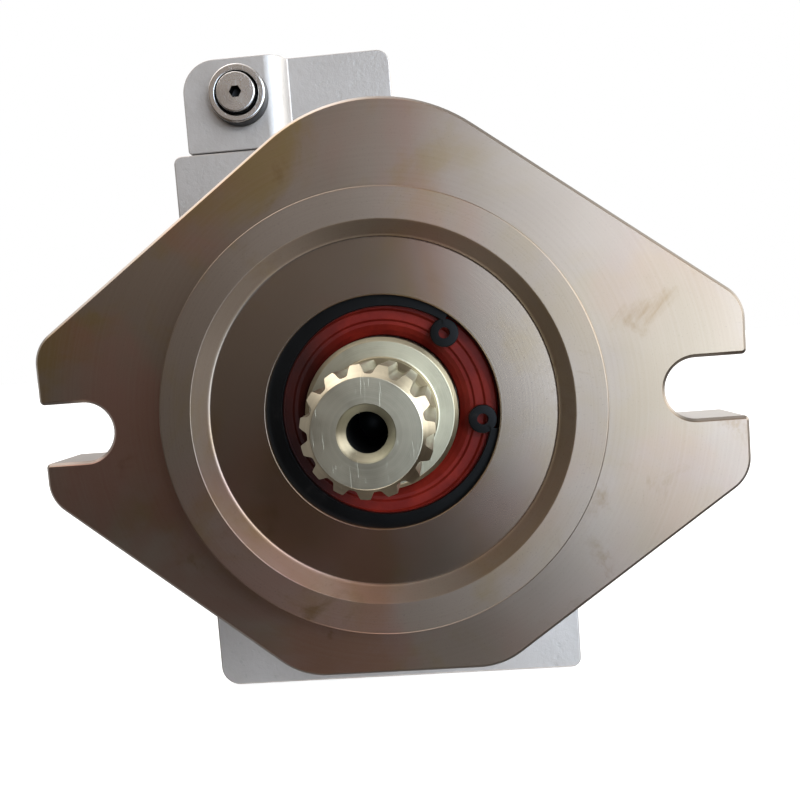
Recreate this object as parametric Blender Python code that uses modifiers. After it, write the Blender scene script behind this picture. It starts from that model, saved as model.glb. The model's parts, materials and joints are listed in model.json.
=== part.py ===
"""A variable axial piston pump with a two-bolt flange and a splined shaft, as separate solids.

Metres. The pump's axis is Y: the shaft's end points to -Y and the port plate is at +Y, with +Z up.
The origin is on that axis, in the plane of the mounting flange's front face.
The swashplate stands upright, at zero stroke, so that the rotating group turns without piston strokes.
"""

import math

import bmesh
import bpy
from mathutils import Matrix, Vector

GAP = 0.0003  # between pieces that touch
ARC_STEP = math.radians(12)  # one facet of a rounded corner
CUT_PAST = 0.001  # a cutter runs this far past the face it opens

# Mounting flange, pilot and shaft end: the two-bolt size with a 101.6 mm pilot and a 15 tooth shaft.
PILOT_RADIUS = 0.0508
PILOT_HEIGHT = 0.0097
PILOT_CHAMFER = 0.0012
RIM_INNER = 0.04347
RECESS_RADIUS = 0.04044
RECESS_DEPTH = 0.0039
FLANGE_THICK = 0.018
SLOT_X = 0.073
SLOT_WIDTH = 0.0143
SHAFT_REACH = 0.046

# Casing behind the flange.
NECK_RADIUS = 0.0515
BODY_FRONT, BODY_BACK = 0.060, 0.154
BODY_LEFT, BODY_RIGHT = -0.0638, 0.0518
BODY_BOTTOM, BODY_TOP = -0.0908, 0.0783
BODY_BOLTS = ((-0.050, -0.077), (0.038, -0.077), (-0.050, 0.064), (0.033, 0.055))
BOLT_RADIUS = 0.006
BOLT_HEAD_RADIUS = 0.009
BOLT_HEAD_HEIGHT = 0.012
BOLT_GRIP = 0.018  # how far a casing bolt reaches into the casing

# Front seal and bearing seats.
SEAL_BORE = 0.02695
SEAL_BACK = 0.008
GROOVE_RADIUS = 0.0285
GROOVE_FRONT, GROOVE_BACK = -0.0042, -0.0022
WALL_HOLE = 0.020
CUP_FRONT, CUP_BACK = 0.013, 0.034
CUP_BORE = 0.0313
JOURNAL_RADIUS = 0.0175

# Swashplate and its cradle, which rolls about the X axis through the pistons' ball centres.
TILT_Y = 0.069
CRADLE_RADIUS = 0.034
CRADLE_SHELL = 0.0018
CRADLE_IN, CRADLE_OUT = 0.0318, 0.0415
CRADLE_HALF = 0.020
SWASH_RADIUS = 0.043
SWASH_FRONT, SWASH_FACE = 0.049, 0.0603
CONTROL_Z = 0.0585
BIAS_Z = -0.064
ARM_HALF = 0.006
ARM_FRONT, ARM_BACK = 0.068, 0.078

# Rotating group.
PISTONS = 9
PISTON_PITCH = 0.031
PISTON_RADIUS = 0.008
BALL_RADIUS = 0.0056
BLOCK_RADIUS = 0.041
BLOCK_FRONT, BLOCK_BACK = 0.0883, 0.1503
SHAFT_RADIUS = 0.0145
SPRING_CHAMBER = 0.020
CHAMBER_BACK = 0.1205
VALVE_PLATE = 0.0045
CAVITY_RADIUS = 0.046
CAVITY_WIDE = 0.048
CAVITY_STEP = 0.080

# Port plate, behind a flat gasket.
GASKET = 0.0008
PLATE_FRONT = BODY_BACK + GASKET + 2 * GAP
PLATE_BACK = 0.2134
PAD_X = 0.076
PAD_HALF = 0.048
PORT_Y = 0.185
SUCTION_RADIUS, PRESSURE_RADIUS = 0.016, 0.012
REAR_BORE = 0.0235
REAR_BORE_BACK = 0.173
KIDNEY_HALF = 0.0042

# Pressure compensator on top of the casing.
VALVE_LEFT, VALVE_RIGHT = -0.0589, 0.005
VALVE_BOTTOM, VALVE_TOP = BODY_TOP + GAP, 0.1065
VALVE_FRONT, VALVE_BACK = 0.0603, 0.126
SHOULDER_LEFT, SHOULDER_BACK, SHOULDER_RADIUS = -0.0335, 0.0653, 0.007
SPOOL_X, SPOOL_Z = -0.0413, 0.0944
VALVE_BOLTS = ((-0.0265, 0.074), (-0.002, 0.074), (-0.0265, 0.116), (-0.002, 0.116))
SMALL_BOLT_RADIUS = 0.003
SMALL_BOLT_SINK = 0.0065


def clear_scene():
    for thing in list(bpy.data.objects):
        bpy.data.objects.remove(thing, do_unlink=True)


def collection(name):
    made = bpy.data.collections.new(name)
    bpy.context.scene.collection.children.link(made)
    return made


clear_scene()
PARTS = collection("axial_piston_pump")
CUTTERS = collection("cutters")


def material(name, colour, roughness, metallic):
    made = bpy.data.materials.new(name)
    made.use_nodes = True
    shader = made.node_tree.nodes["Principled BSDF"]
    shader.inputs["Base Color"].default_value = (*colour, 1)
    shader.inputs["Roughness"].default_value = roughness
    shader.inputs["Metallic"].default_value = metallic
    return made


MACHINED = material("machined_iron", (0.30, 0.27, 0.24), 0.45, 0.9)
CAST = material("cast_metal", (0.55, 0.54, 0.54), 0.6, 0.6)
STEEL = material("shaft_steel", (0.60, 0.59, 0.54), 0.3, 1.0)
DARK = material("dark_steel", (0.05, 0.05, 0.06), 0.4, 0.9)
BRONZE = material("bronze", (0.50, 0.34, 0.14), 0.35, 0.9)
SEAL = material("seal_rubber", (0.28, 0.06, 0.04), 0.5, 0.0)
PAPER = material("gasket_fibre", (0.10, 0.12, 0.10), 0.8, 0.0)


def show(thing, finish):
    """Keep an object as a part with this material."""
    thing.data.materials.clear()
    thing.data.materials.append(finish)
    PARTS.objects.link(thing)
    return thing


def as_tool(thing):
    """Keep an object as a shape that only cuts or extends others."""
    CUTTERS.objects.link(thing)
    thing.hide_render = True
    thing.display_type = "WIRE"
    return thing


def combine(target, operation, tools):
    for tool in tools:
        if tool.name not in CUTTERS.objects:
            as_tool(tool)
        step = target.modifiers.new(operation.lower(), "BOOLEAN")
        step.operation = operation
        step.object = tool
    return target


def cut(target, *tools):
    return combine(target, "DIFFERENCE", tools)


def join(target, *tools):
    return combine(target, "UNION", tools)


def from_bmesh(name, shape):
    mesh = bpy.data.meshes.new(name)
    shape.to_mesh(mesh)
    shape.free()
    return bpy.data.objects.new(name, mesh)


def facing(direction):
    return Vector(direction).to_track_quat("Z", "Y").to_euler()


def turned(name, outline, steps=32, at=(0, 0, 0), along=(0, 1, 0)):
    """A solid turned about an axis. Each point of its outline is (radius, distance along the axis)."""
    ring = outline[0][0] > 0
    doubled = sum(
        a[0] * b[1] - b[0] * a[1] for a, b in zip(outline, outline[1:] + outline[:1])
    )
    if doubled > 0:
        outline = outline[::-1]
    mesh = bpy.data.meshes.new(name)
    edges = [(i, i + 1) for i in range(len(outline) - 1)]
    if ring:
        edges.append((len(outline) - 1, 0))
    mesh.from_pydata([(radius, 0, height) for radius, height in outline], edges, [])
    thing = bpy.data.objects.new(name, mesh)
    thing.location = at
    thing.rotation_euler = facing(along)
    screw = thing.modifiers.new("turn", "SCREW")
    screw.steps = steps
    screw.render_steps = steps
    screw.use_merge_vertices = True
    screw.merge_threshold = 0.00001
    return thing


def cylinder(name, radius, start, end, sides=24):
    start, end = Vector(start), Vector(end)
    shape = bmesh.new()
    bmesh.ops.create_cone(
        shape,
        cap_ends=True,
        segments=sides,
        radius1=radius,
        radius2=radius,
        depth=(end - start).length,
    )
    thing = from_bmesh(name, shape)
    thing.location = (start + end) / 2
    thing.rotation_euler = facing(end - start)
    return thing


def box(name, low, high):
    low, high = Vector(low), Vector(high)
    shape = bmesh.new()
    bmesh.ops.create_cube(shape, size=1, matrix=Matrix.Diagonal((*(high - low), 1)))
    thing = from_bmesh(name, shape)
    thing.location = (low + high) / 2
    return thing


def meshed(guide, name):
    """The mesh object of a curve object, with its caps welded. The curve is removed."""
    bpy.context.scene.collection.objects.link(guide)
    bpy.context.view_layer.update()
    graph = bpy.context.evaluated_depsgraph_get()
    mesh = bpy.data.meshes.new_from_object(guide.evaluated_get(graph))
    shape = bmesh.new()
    shape.from_mesh(mesh)
    bmesh.ops.remove_doubles(shape, verts=shape.verts, dist=1e-6)
    shape.to_mesh(mesh)
    shape.free()
    thing = bpy.data.objects.new(name, mesh)
    thing.matrix_world = guide.matrix_world
    bpy.data.objects.remove(guide, do_unlink=True)
    return thing


def prism(name, outline, front, back, holes=()):
    """A plate from front to back along Y. Its outline is a loop of (x, z) points, and so is each hole."""
    curve = bpy.data.curves.new(name, "CURVE")
    curve.dimensions = "2D"
    curve.fill_mode = "BOTH"
    curve.extrude = (back - front) / 2
    for loop in (outline, *holes):
        spline = curve.splines.new("POLY")
        spline.points.add(len(loop) - 1)
        for point, (x, z) in zip(spline.points, loop):
            point.co = (x, z, 0, 1)
        spline.use_cyclic_u = True
    guide = bpy.data.objects.new(name + "_outline", curve)
    guide.rotation_euler.x = math.pi / 2
    guide.location.y = (front + back) / 2
    return meshed(guide, name)


def coil(name, radius, wire, front, back, turns, x=0.0, z=0.0):
    """An open helical spring along Y."""
    curve = bpy.data.curves.new(name, "CURVE")
    curve.dimensions = "3D"
    curve.bevel_depth = wire
    curve.bevel_resolution = 0
    curve.use_fill_caps = True
    each_turn = 8
    count = turns * each_turn
    spline = curve.splines.new("POLY")
    spline.points.add(count)
    for i, point in enumerate(spline.points):
        angle = math.tau * i / each_turn
        along = front + (back - front) * i / count
        point.co = (x + radius * math.cos(angle), along, z + radius * math.sin(angle), 1)
    return meshed(bpy.data.objects.new(name + "_wire", curve), name)


def circle(radius, x=0.0, z=0.0, count=24):
    angles = (math.tau * i / count for i in range(count))
    return [(x + radius * math.cos(a), z + radius * math.sin(a)) for a in angles]


def arc(radius, start, end, count):
    angles = (start + (end - start) * i / count for i in range(count + 1))
    return [(radius * math.cos(a), radius * math.sin(a)) for a in angles]


def rounded(corners):
    """A convex outline, run anticlockwise, whose corners (x, z, radius) are rounded to arcs."""
    points = []
    for i, (x, z, radius) in enumerate(corners):
        here = Vector((x, z))
        if radius == 0:
            points.append(tuple(here))
            continue
        before = (Vector(corners[i - 1][:2]) - here).normalized()
        after = (Vector(corners[(i + 1) % len(corners)][:2]) - here).normalized()
        half = before.angle(after) / 2
        centre = here + (before + after).normalized() * radius / math.sin(half)
        start = here + before * radius / math.tan(half) - centre
        turn = math.pi - 2 * half
        steps = max(2, round(turn / ARC_STEP))
        for k in range(steps + 1):
            points.append(tuple(centre + Matrix.Rotation(turn * k / steps, 2) @ start))
    return points


def toothed(teeth, root, tip, points_share=(0.34, 0.17)):
    """A splined outline: each tooth is as wide at its root and tip as these shares of the pitch, each way."""
    pitch = math.tau / teeth
    at_root, at_tip = points_share
    shape = ((-at_root, root), (-at_tip, tip), (at_tip, tip), (at_root, root))
    return [
        (r * math.cos((i + share) * pitch), r * math.sin((i + share) * pitch))
        for i in range(teeth)
        for share, r in shape
    ]


def kidney(radius, half_width, start, end, count=7):
    """A curved slot's outline about the axis, with round ends."""
    ends = []
    for angle, turn in ((end, 1), (start, -1)):
        cx, cz = radius * math.cos(angle), radius * math.sin(angle)
        first = angle if turn > 0 else angle + math.pi
        ends.append(
            [
                (cx + half_width * math.cos(first + b), cz + half_width * math.sin(first + b))
                for b in (math.pi * k / 4 for k in range(1, 4))
            ]
        )
    outer = arc(radius + half_width, start, end, count)
    inner = arc(radius - half_width, end, start, count)
    return outer + ends[0] + inner + ends[1]


def hex_socket(name, radius, start, end):
    return cylinder(name, radius, start, end, sides=6)


def port_kidneys():
    half = math.radians(62)
    return (
        kidney(PISTON_PITCH, KIDNEY_HALF, -half, half),
        kidney(PISTON_PITCH, KIDNEY_HALF, math.pi - half, math.pi + half),
    )


def body_outline(inset=0.0):
    """The casing's and port plate's outline, with its upper right corner cut off."""
    return rounded(
        [
            (BODY_LEFT + inset, BODY_BOTTOM + inset, 0.006),
            (BODY_RIGHT - inset, BODY_BOTTOM + inset, 0.003),
            (BODY_RIGHT - inset, 0.057 - inset, 0.008),
            (0.022 - inset, BODY_TOP - inset, 0.008),
            (BODY_LEFT + inset, BODY_TOP - inset, 0.0015),
        ]
    )


# --- casing ---------------------------------------------------------------------------------------


def flange_outline():
    """The two-bolt flange: pointed and rounded above, flat below, with an ear on each side."""
    return rounded(
        [
            (-0.025, -0.064, 0.018),
            (0.024, -0.064, 0.018),
            (0.0848, -0.0215, 0.009),
            (0.0848, 0.020, 0.009),
            (0.0018, 0.0826, 0.040),
            (-0.0835, 0.0213, 0.009),
            (-0.0835, -0.0163, 0.009),
        ]
    )


def flange_slots():
    tools = []
    half = SLOT_WIDTH / 2
    for side in (-1, 1):
        x = side * SLOT_X
        front, back = -CUT_PAST, FLANGE_THICK + CUT_PAST
        tools.append(cylinder("slot_end", half, (x, front, 0), (x, back, 0)))
        near, far = sorted((x, x + side * 0.020))
        tools.append(box("slot_mouth", (near, front, -half), (far, back, half)))
    return tools


def casing_bore():
    """Everything that is turned out of the casing, from the pilot's recess to the open back."""
    slope = (RIM_INNER - RECESS_RADIUS) / RECESS_DEPTH
    return turned(
        "casing_bore",
        [
            (0, -PILOT_HEIGHT - CUT_PAST),
            (RIM_INNER + slope * CUT_PAST, -PILOT_HEIGHT - CUT_PAST),
            (RECESS_RADIUS, RECESS_DEPTH - PILOT_HEIGHT),
            (SEAL_BORE, RECESS_DEPTH - PILOT_HEIGHT),
            (SEAL_BORE, GROOVE_FRONT),
            (GROOVE_RADIUS, GROOVE_FRONT),
            (GROOVE_RADIUS, GROOVE_BACK),
            (SEAL_BORE, GROOVE_BACK),
            (SEAL_BORE, SEAL_BACK),
            (WALL_HOLE, SEAL_BACK),
            (WALL_HOLE, CUP_FRONT),
            (CUP_BORE, CUP_FRONT),
            (CUP_BORE, CUP_BACK),
            (0.045, 0.0475),
            (0.045, 0.052),
            (CAVITY_WIDE, 0.052),
            (CAVITY_WIDE, CAVITY_STEP),
            (CAVITY_RADIUS, CAVITY_STEP),
            (CAVITY_RADIUS, BODY_BACK + CUT_PAST),
            (0, BODY_BACK + CUT_PAST),
        ],
        steps=32,
    )


def saddle_cutter():
    reach = CRADLE_OUT + 0.0005
    radius = CRADLE_RADIUS + CRADLE_SHELL + 2 * GAP
    tool = cylinder("saddle", radius, (-reach, TILT_Y, 0), (reach, TILT_Y, 0), sides=28)
    band = box(
        "saddle_band",
        (-0.060, 0, -CRADLE_HALF - 0.001),
        (0.060, 0.120, CRADLE_HALF + 0.001),
    )
    return combine(as_tool(tool), "INTERSECT", [band])


def make_housing():
    housing = prism("housing", flange_outline(), 0, FLANGE_THICK)
    pilot = turned(
        "pilot_and_neck",
        [
            (0, -PILOT_HEIGHT),
            (PILOT_RADIUS - PILOT_CHAMFER, -PILOT_HEIGHT),
            (PILOT_RADIUS, PILOT_CHAMFER - PILOT_HEIGHT),
            (PILOT_RADIUS, FLANGE_THICK / 2),
            (NECK_RADIUS, FLANGE_THICK / 2 + 0.001),
            (NECK_RADIUS, BODY_FRONT + 0.002),
            (0, BODY_FRONT + 0.002),
        ],
        steps=36,
    )
    body = prism("casing_body", body_outline(), BODY_FRONT, BODY_BACK)
    join(housing, pilot, body)
    past = BODY_BACK + CUT_PAST
    top_channel = box("top_channel", (-0.009, 0.066, 0.040), (0.009, 0.0805, 0.068))
    low_channel = box("low_channel", (-0.009, 0.066, -0.073), (0.009, 0.0805, -0.040))
    stroke = cylinder("stroke_bore", 0.0103, (0, ARM_BACK, CONTROL_Z), (0, past, CONTROL_Z), 16)
    bias = cylinder("bias_bore", 0.013, (0, ARM_BACK, BIAS_Z), (0, past, BIAS_Z), 16)
    cut(housing, casing_bore(), saddle_cutter(), top_channel, low_channel, stroke, bias)
    cut(housing, *flange_slots())
    for x, z in BODY_BOLTS:
        start = (x, BODY_BACK - BOLT_GRIP - 0.002, z)
        cut(housing, cylinder("casing_thread", BOLT_RADIUS + GAP, start, (x, past, z), 12))
    for x, y in VALVE_BOLTS:
        deep, high = (x, y, 0.0705), (x, y, BODY_TOP + CUT_PAST)
        cut(housing, cylinder("valve_thread", SMALL_BOLT_RADIUS + GAP, deep, high, 10))
    drain = cylinder("drain_hole", 0.009, (0.040, 0.110, 0.015), (0.053, 0.110, 0.015), 16)
    cut(housing, drain)
    show(housing, MACHINED)


def make_gasket():
    holes = [circle(0.0475, count=28), circle(0.0075, z=CONTROL_Z, count=12)]
    holes.append(circle(0.0125, z=BIAS_Z - 0.0015, count=12))
    holes.extend(circle(BOLT_RADIUS + 2 * GAP, x, z, 10) for x, z in BODY_BOLTS)
    front = BODY_BACK + GAP
    gasket = prism("housing_gasket", body_outline(0.0006), front, front + GASKET, holes)
    show(gasket, PAPER)


# --- port plate -----------------------------------------------------------------------------------


def pad_bolt_holes(side, across, along, radius):
    """The four tapped holes around a side port."""
    tools = []
    for dy in (-across / 2, across / 2):
        for z in (-along / 2, along / 2):
            mouth = (side * (PAD_X + CUT_PAST), PORT_Y + dy, z)
            end = (side * (PAD_X - 0.018), PORT_Y + dy, z)
            tools.append(cylinder("pad_thread", radius, end, mouth, 8))
    return tools


def make_port_plate():
    plate = prism("port_plate", body_outline(), PLATE_FRONT, PLATE_BACK)
    for side in (-1, 1):
        near, far = sorted((side * 0.030, side * PAD_X))
        pad = box("port_pad", (near, 0.1575, -PAD_HALF), (far, 0.2125, PAD_HALF))
        join(plate, pad)
    boss = cylinder("rear_boss", 0.030, (0, PLATE_BACK - 0.002, 0), (0, 0.2174, 0), 28)
    stop = (0, PLATE_BACK - 0.002, CONTROL_Z), (0, 0.2174, CONTROL_Z)
    join(plate, boss, cylinder("stop_boss", 0.0115, *stop, 16))
    front = PLATE_FRONT - CUT_PAST
    for outline in port_kidneys():
        cut(plate, prism("port_kidney", outline, front, 0.176))
    past = PAD_X + CUT_PAST
    suction = (-past, PORT_Y, 0), (-0.026, PORT_Y, 0)
    pressure = (0.026, PORT_Y, 0), (past, PORT_Y, 0)
    cut(plate, cylinder("suction_port", SUCTION_RADIUS, *suction, 16))
    cut(plate, cylinder("pressure_port", PRESSURE_RADIUS, *pressure, 16))
    cut(plate, *pad_bolt_holes(-1, 0.0357, 0.0699, 0.0055))
    cut(plate, *pad_bolt_holes(1, 0.0262, 0.0524, 0.0048))
    cut(plate, cylinder("rear_bore", REAR_BORE, (0, front, 0), (0, REAR_BORE_BACK, 0), 24))
    for x, z in BODY_BOLTS:
        hole = (x, front, z), (x, PLATE_BACK + CUT_PAST, z)
        cut(plate, cylinder("plate_bolt_hole", BOLT_RADIUS + GAP, *hole, 12))
    screw_hole = (0, front, CONTROL_Z), (0, 0.2184, CONTROL_Z)
    cut(plate, cylinder("stop_hole", 0.0053, *screw_hole, 12))
    show(plate, CAST)


def socket_screw(name, head, head_height, shank, length, seat, along):
    """A socket head screw: seat is the point under its head, and its shank runs along this direction."""
    outline = [
        (0, -head_height),
        (head * 0.94, -head_height),
        (head, -head_height * 0.93),
        (head, 0),
        (shank, 0),
        (shank, length - shank * 0.3),
        (shank * 0.7, length),
        (0, length),
    ]
    screw = turned(name, outline, steps=12, at=seat, along=along)
    seat, along = Vector(seat), Vector(along)
    depth = head_height * 0.5
    mouth = seat - along * (head_height + CUT_PAST)
    socket = hex_socket(name + "_socket", head * 0.58, seat - along * (head_height - depth), mouth)
    cut(screw, socket)
    show(screw, DARK)


def make_casing_bolts():
    for i, (x, z) in enumerate(BODY_BOLTS, 1):
        seat = (x, PLATE_BACK + GAP, z)
        length = PLATE_BACK + GAP - BODY_BACK + BOLT_GRIP
        name = f"housing_bolt_{i}"
        socket_screw(name, BOLT_HEAD_RADIUS, BOLT_HEAD_HEIGHT, BOLT_RADIUS, length, seat, (0, -1, 0))


# --- shaft seal, its ring and the bearings --------------------------------------------------------


def make_seal():
    lip = JOURNAL_RADIUS + GAP
    outline = [
        (SEAL_BORE - GAP, -0.0013),
        (SEAL_BORE - GAP - 0.0005, -0.0019),
        (0.0235, -0.0019),
        (0.0228, -0.0008),
        (0.0212, -0.0008),
        (0.0192, -0.0002),
        (lip + 0.0003, 0.0012),
        (lip, 0.0020),
        (lip + 0.0010, 0.0032),
        (0.0208, 0.0032),
        (0.0222, 0.0050),
        (0.0222, SEAL_BACK - GAP),
        (SEAL_BORE - GAP, SEAL_BACK - GAP),
    ]
    show(turned("shaft_seal", outline, steps=24), SEAL)


def make_circlip():
    """A retaining ring that widens away from its gap, with a pierced lug each side of the gap."""
    first, last = math.radians(52), math.radians(348)
    count = 24
    outer, inner = GROOVE_RADIUS - GAP, 0.0252
    front, back = GROOVE_FRONT + 0.0002, GROOVE_BACK - 0.0002
    inside = []
    for i in range(count + 1):
        share = i / count
        angle = last + (first - last) * share
        radius = inner - 0.0018 * math.sin(math.pi * share)
        inside.append((radius * math.cos(angle), radius * math.sin(angle)))
    ring = prism("seal_circlip", arc(outer, first, last, count) + inside, front, back)
    for angle in (math.radians(48), math.radians(352)):
        x, z = 0.0232 * math.cos(angle), 0.0232 * math.sin(angle)
        lug = (x, front + 0.00001, z), (x, back - 0.00001, z)
        join(ring, cylinder("lug", 0.0033, *lug, 12))
        pierced = (x, front - CUT_PAST, z), (x, back + CUT_PAST, z)
        cut(ring, cylinder("lug_hole", 0.0013, *pierced, 8))
    show(ring, DARK)


def tapered_bearing(place, start, sense, bore, outside, width, rollers):
    """A cup, a cone and a cage of rollers. They widen from start, in the direction of sense along Y."""
    section = outside - bore

    def cup_inside(t):
        return outside - section * (0.4525 - 0.2125 * t / width)

    def cone_outside(t):
        return bore + section * (0.20 + 0.14 * t / width)

    def at(t):
        return start + sense * t

    cup = [
        (outside, at(0)),
        (outside, at(width)),
        (cup_inside(width), at(width)),
        (cup_inside(0), at(0)),
    ]
    show(turned(f"{place}_bearing_cup", cup, steps=24), STEEL)
    rib = bore + section * 0.486
    cone = [
        (bore, at(0.05 * width)),
        (cone_outside(0.05 * width), at(0.05 * width)),
        (cone_outside(0.88 * width), at(0.88 * width)),
        (rib, at(0.90 * width)),
        (rib, at(1.03 * width)),
        (bore, at(1.03 * width)),
    ]
    show(turned(f"{place}_bearing_cone", cone, steps=20), STEEL)

    def middle(t):
        return (cup_inside(t) + cone_outside(t)) / 2

    half = section * 0.075
    rings = []
    for low, high in ((0.08, 0.17), (0.77, 0.85)):
        mid = middle((low + high) / 2 * width)
        outline = [(mid - half, at(low * width)), (mid + half, at(low * width))]
        outline += [(mid + half, at(high * width)), (mid - half, at(high * width))]
        rings.append(turned("cage_ring", outline, steps=18))
    cage = rings[0]
    cage.name = f"{place}_bearing_rollers"
    join(cage, rings[1])
    small, large = 0.125 * width, 0.81 * width
    thin = (cup_inside(small) - cone_outside(small)) / 2 - 0.0004
    thick = (cup_inside(large) - cone_outside(large)) / 2 - 0.0004
    for i in range(rollers):
        angle = math.tau * (i + 0.5) / rollers
        ends = []
        for t in (small, large):
            ends.append(Vector((middle(t) * math.cos(angle), at(t), middle(t) * math.sin(angle))))
        shape = bmesh.new()
        bmesh.ops.create_cone(
            shape,
            cap_ends=True,
            segments=6,
            radius1=thin,
            radius2=thick,
            depth=(ends[1] - ends[0]).length,
        )
        roller = from_bmesh("roller", shape)
        roller.location = (ends[0] + ends[1]) / 2
        roller.rotation_euler = facing(ends[1] - ends[0])
        join(cage, roller)
    show(cage, BRONZE)


def make_bearings():
    front = CUP_FRONT + GAP
    tapered_bearing("front", front, 1, JOURNAL_RADIUS + GAP, CUP_BORE - GAP, 0.0177, 9)
    rear = REAR_BORE_BACK - 0.0013
    tapered_bearing("rear", rear, -1, 0.0128, REAR_BORE - GAP, 0.0154, 9)


# --- rotating group -------------------------------------------------------------------------------


def make_shaft():
    front = -SHAFT_REACH
    shaft = turned(
        "drive_shaft",
        [
            (0, -0.0135),
            (0.0104, -0.0135),
            (0.0122, -0.0120),
            (0.0126, -0.0090),
            (JOURNAL_RADIUS - 0.0010, -0.0090),
            (JOURNAL_RADIUS, -0.0080),
            (JOURNAL_RADIUS, 0.0319),
            (0.0200, 0.0319),
            (0.0200, 0.0360),
            (SHAFT_RADIUS, 0.0360),
            (SHAFT_RADIUS, 0.1180),
            (0.0125, 0.1195),
            (0.0125, REAR_BORE_BACK - 0.0005),
            (0, REAR_BORE_BACK - 0.0005),
        ],
        steps=20,
    )
    tip, root = 0.01249, 0.01075
    teeth = prism("shaft_teeth", toothed(15, root, tip), front, -0.0110)
    envelope = turned(
        "teeth_envelope",
        [
            (0, front - 0.00001),
            (0.0104, front - 0.00001),
            (tip + 0.0002, front + 0.0022),
            (tip + 0.0002, -0.0100),
            (0, -0.0100),
        ],
        steps=30,
    )
    combine(as_tool(teeth), "INTERSECT", [envelope])
    inner = prism("inner_teeth", toothed(8, 0.0132, 0.0144), 0.1170, 0.1480)
    join(shaft, teeth, inner)
    hole = turned(
        "centre_hole",
        [
            (0, front - CUT_PAST),
            (0.0058, front - CUT_PAST),
            (0.0042, front + 0.0018),
            (0.0042, front + 0.0240),
            (0, front + 0.0262),
        ],
        steps=16,
    )
    cut(shaft, hole)
    show(shaft, STEEL)


def piston_places():
    step = math.tau / PISTONS
    angles = (math.pi / 2 + step * i for i in range(PISTONS))
    return [(PISTON_PITCH * math.cos(a), PISTON_PITCH * math.sin(a)) for a in angles]


def make_cylinder_block():
    block = turned(
        "cylinder_block",
        [
            (0, BLOCK_FRONT),
            (BLOCK_RADIUS - 0.001, BLOCK_FRONT),
            (BLOCK_RADIUS, BLOCK_FRONT + 0.001),
            (BLOCK_RADIUS, BLOCK_BACK - 0.006),
            (BLOCK_RADIUS - 0.0015, BLOCK_BACK - 0.006),
            (BLOCK_RADIUS - 0.0015, BLOCK_BACK),
            (0, BLOCK_BACK),
        ],
        steps=27,
    )
    chamber = (0, BLOCK_FRONT - CUT_PAST, 0), (0, CHAMBER_BACK, 0)
    cut(block, cylinder("spring_chamber", SPRING_CHAMBER, *chamber, 20))
    drive = prism("drive_teeth", toothed(8, 0.0135, 0.0147), CHAMBER_BACK - CUT_PAST, BLOCK_BACK + CUT_PAST)
    cut(block, drive)
    for x, z in piston_places():
        bore = (x, BLOCK_FRONT - CUT_PAST, z), (x, 0.143, z)
        port = (x, 0.142, z), (x, BLOCK_BACK + CUT_PAST, z)
        cut(block, cylinder("piston_bore", PISTON_RADIUS + GAP, *bore, 12))
        cut(block, cylinder("block_port", 0.0040, *port, 8))
    show(block, STEEL)


def ball_arc(radius, low, high, count):
    """Points on a sphere about the tilt centre, (radius, y), from one y to the other."""
    start, end = (math.acos(max(-1, (y - TILT_Y) / radius)) for y in (low, high))
    angles = [start + (end - start) * i / count for i in range(count + 1)]
    return [(radius * math.sin(a), TILT_Y + radius * math.cos(a)) for a in angles]


def make_pistons():
    neck = 0.0039
    neck_y = TILT_Y + math.sqrt(BALL_RADIUS**2 - neck**2)
    ball = ball_arc(BALL_RADIUS, TILT_Y - BALL_RADIUS, neck_y, 4)
    piston = [(0, ball[0][1])] + ball[1:]
    piston += [(neck, 0.0750), (PISTON_RADIUS, 0.0780), (PISTON_RADIUS, 0.1360)]
    piston += [(PISTON_RADIUS - 0.0006, 0.1366), (0.0050, 0.1366), (0.0050, 0.0960), (0, 0.0960)]
    socket_radius = BALL_RADIUS + GAP
    socket = ball_arc(socket_radius, TILT_Y - socket_radius, TILT_Y + 0.0030, 4)
    slipper = [(0, SWASH_FACE + GAP), (0.0096, SWASH_FACE + GAP), (0.0096, 0.0634)]
    slipper += [(0.0076, 0.0637), (0.0076, 0.0714), (0.0070, 0.0720)]
    slipper += socket[:0:-1] + [(0, socket[0][1])]
    for i, (x, z) in enumerate(piston_places(), 1):
        show(turned(f"piston_{i}", piston, steps=10, at=(x, 0, z)), STEEL)
        show(turned(f"slipper_{i}", slipper, steps=10, at=(x, 0, z)), BRONZE)


def make_retainer():
    holes = [circle(0.0204, count=24)]
    holes.extend(circle(0.0084, x, z, 10) for x, z in piston_places())
    plate = prism("retaining_plate", circle(0.0415, count=27), 0.0640, 0.0675, holes)
    show(plate, STEEL)
    bore = SHAFT_RADIUS + GAP
    outline = [(bore, 0.0615)] + ball_arc(0.020, 0.0615, 0.0765, 5)
    outline += [(0.0170, 0.0780), (0.0170, 0.0870), (bore, 0.0870)]
    show(turned("retaining_ball", outline, steps=20), STEEL)
    show(coil("block_spring", 0.0177, 0.0015, 0.0892, 0.1138, 4), STEEL)


def make_valve_plate():
    holes = [circle(0.0240, count=18), *port_kidneys()]
    back = PLATE_FRONT - GAP
    plate = prism("valve_plate", circle(BLOCK_RADIUS, count=27), back - VALVE_PLATE, back, holes)
    show(plate, BRONZE)


# --- swashplate and its control -------------------------------------------------------------------


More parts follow.
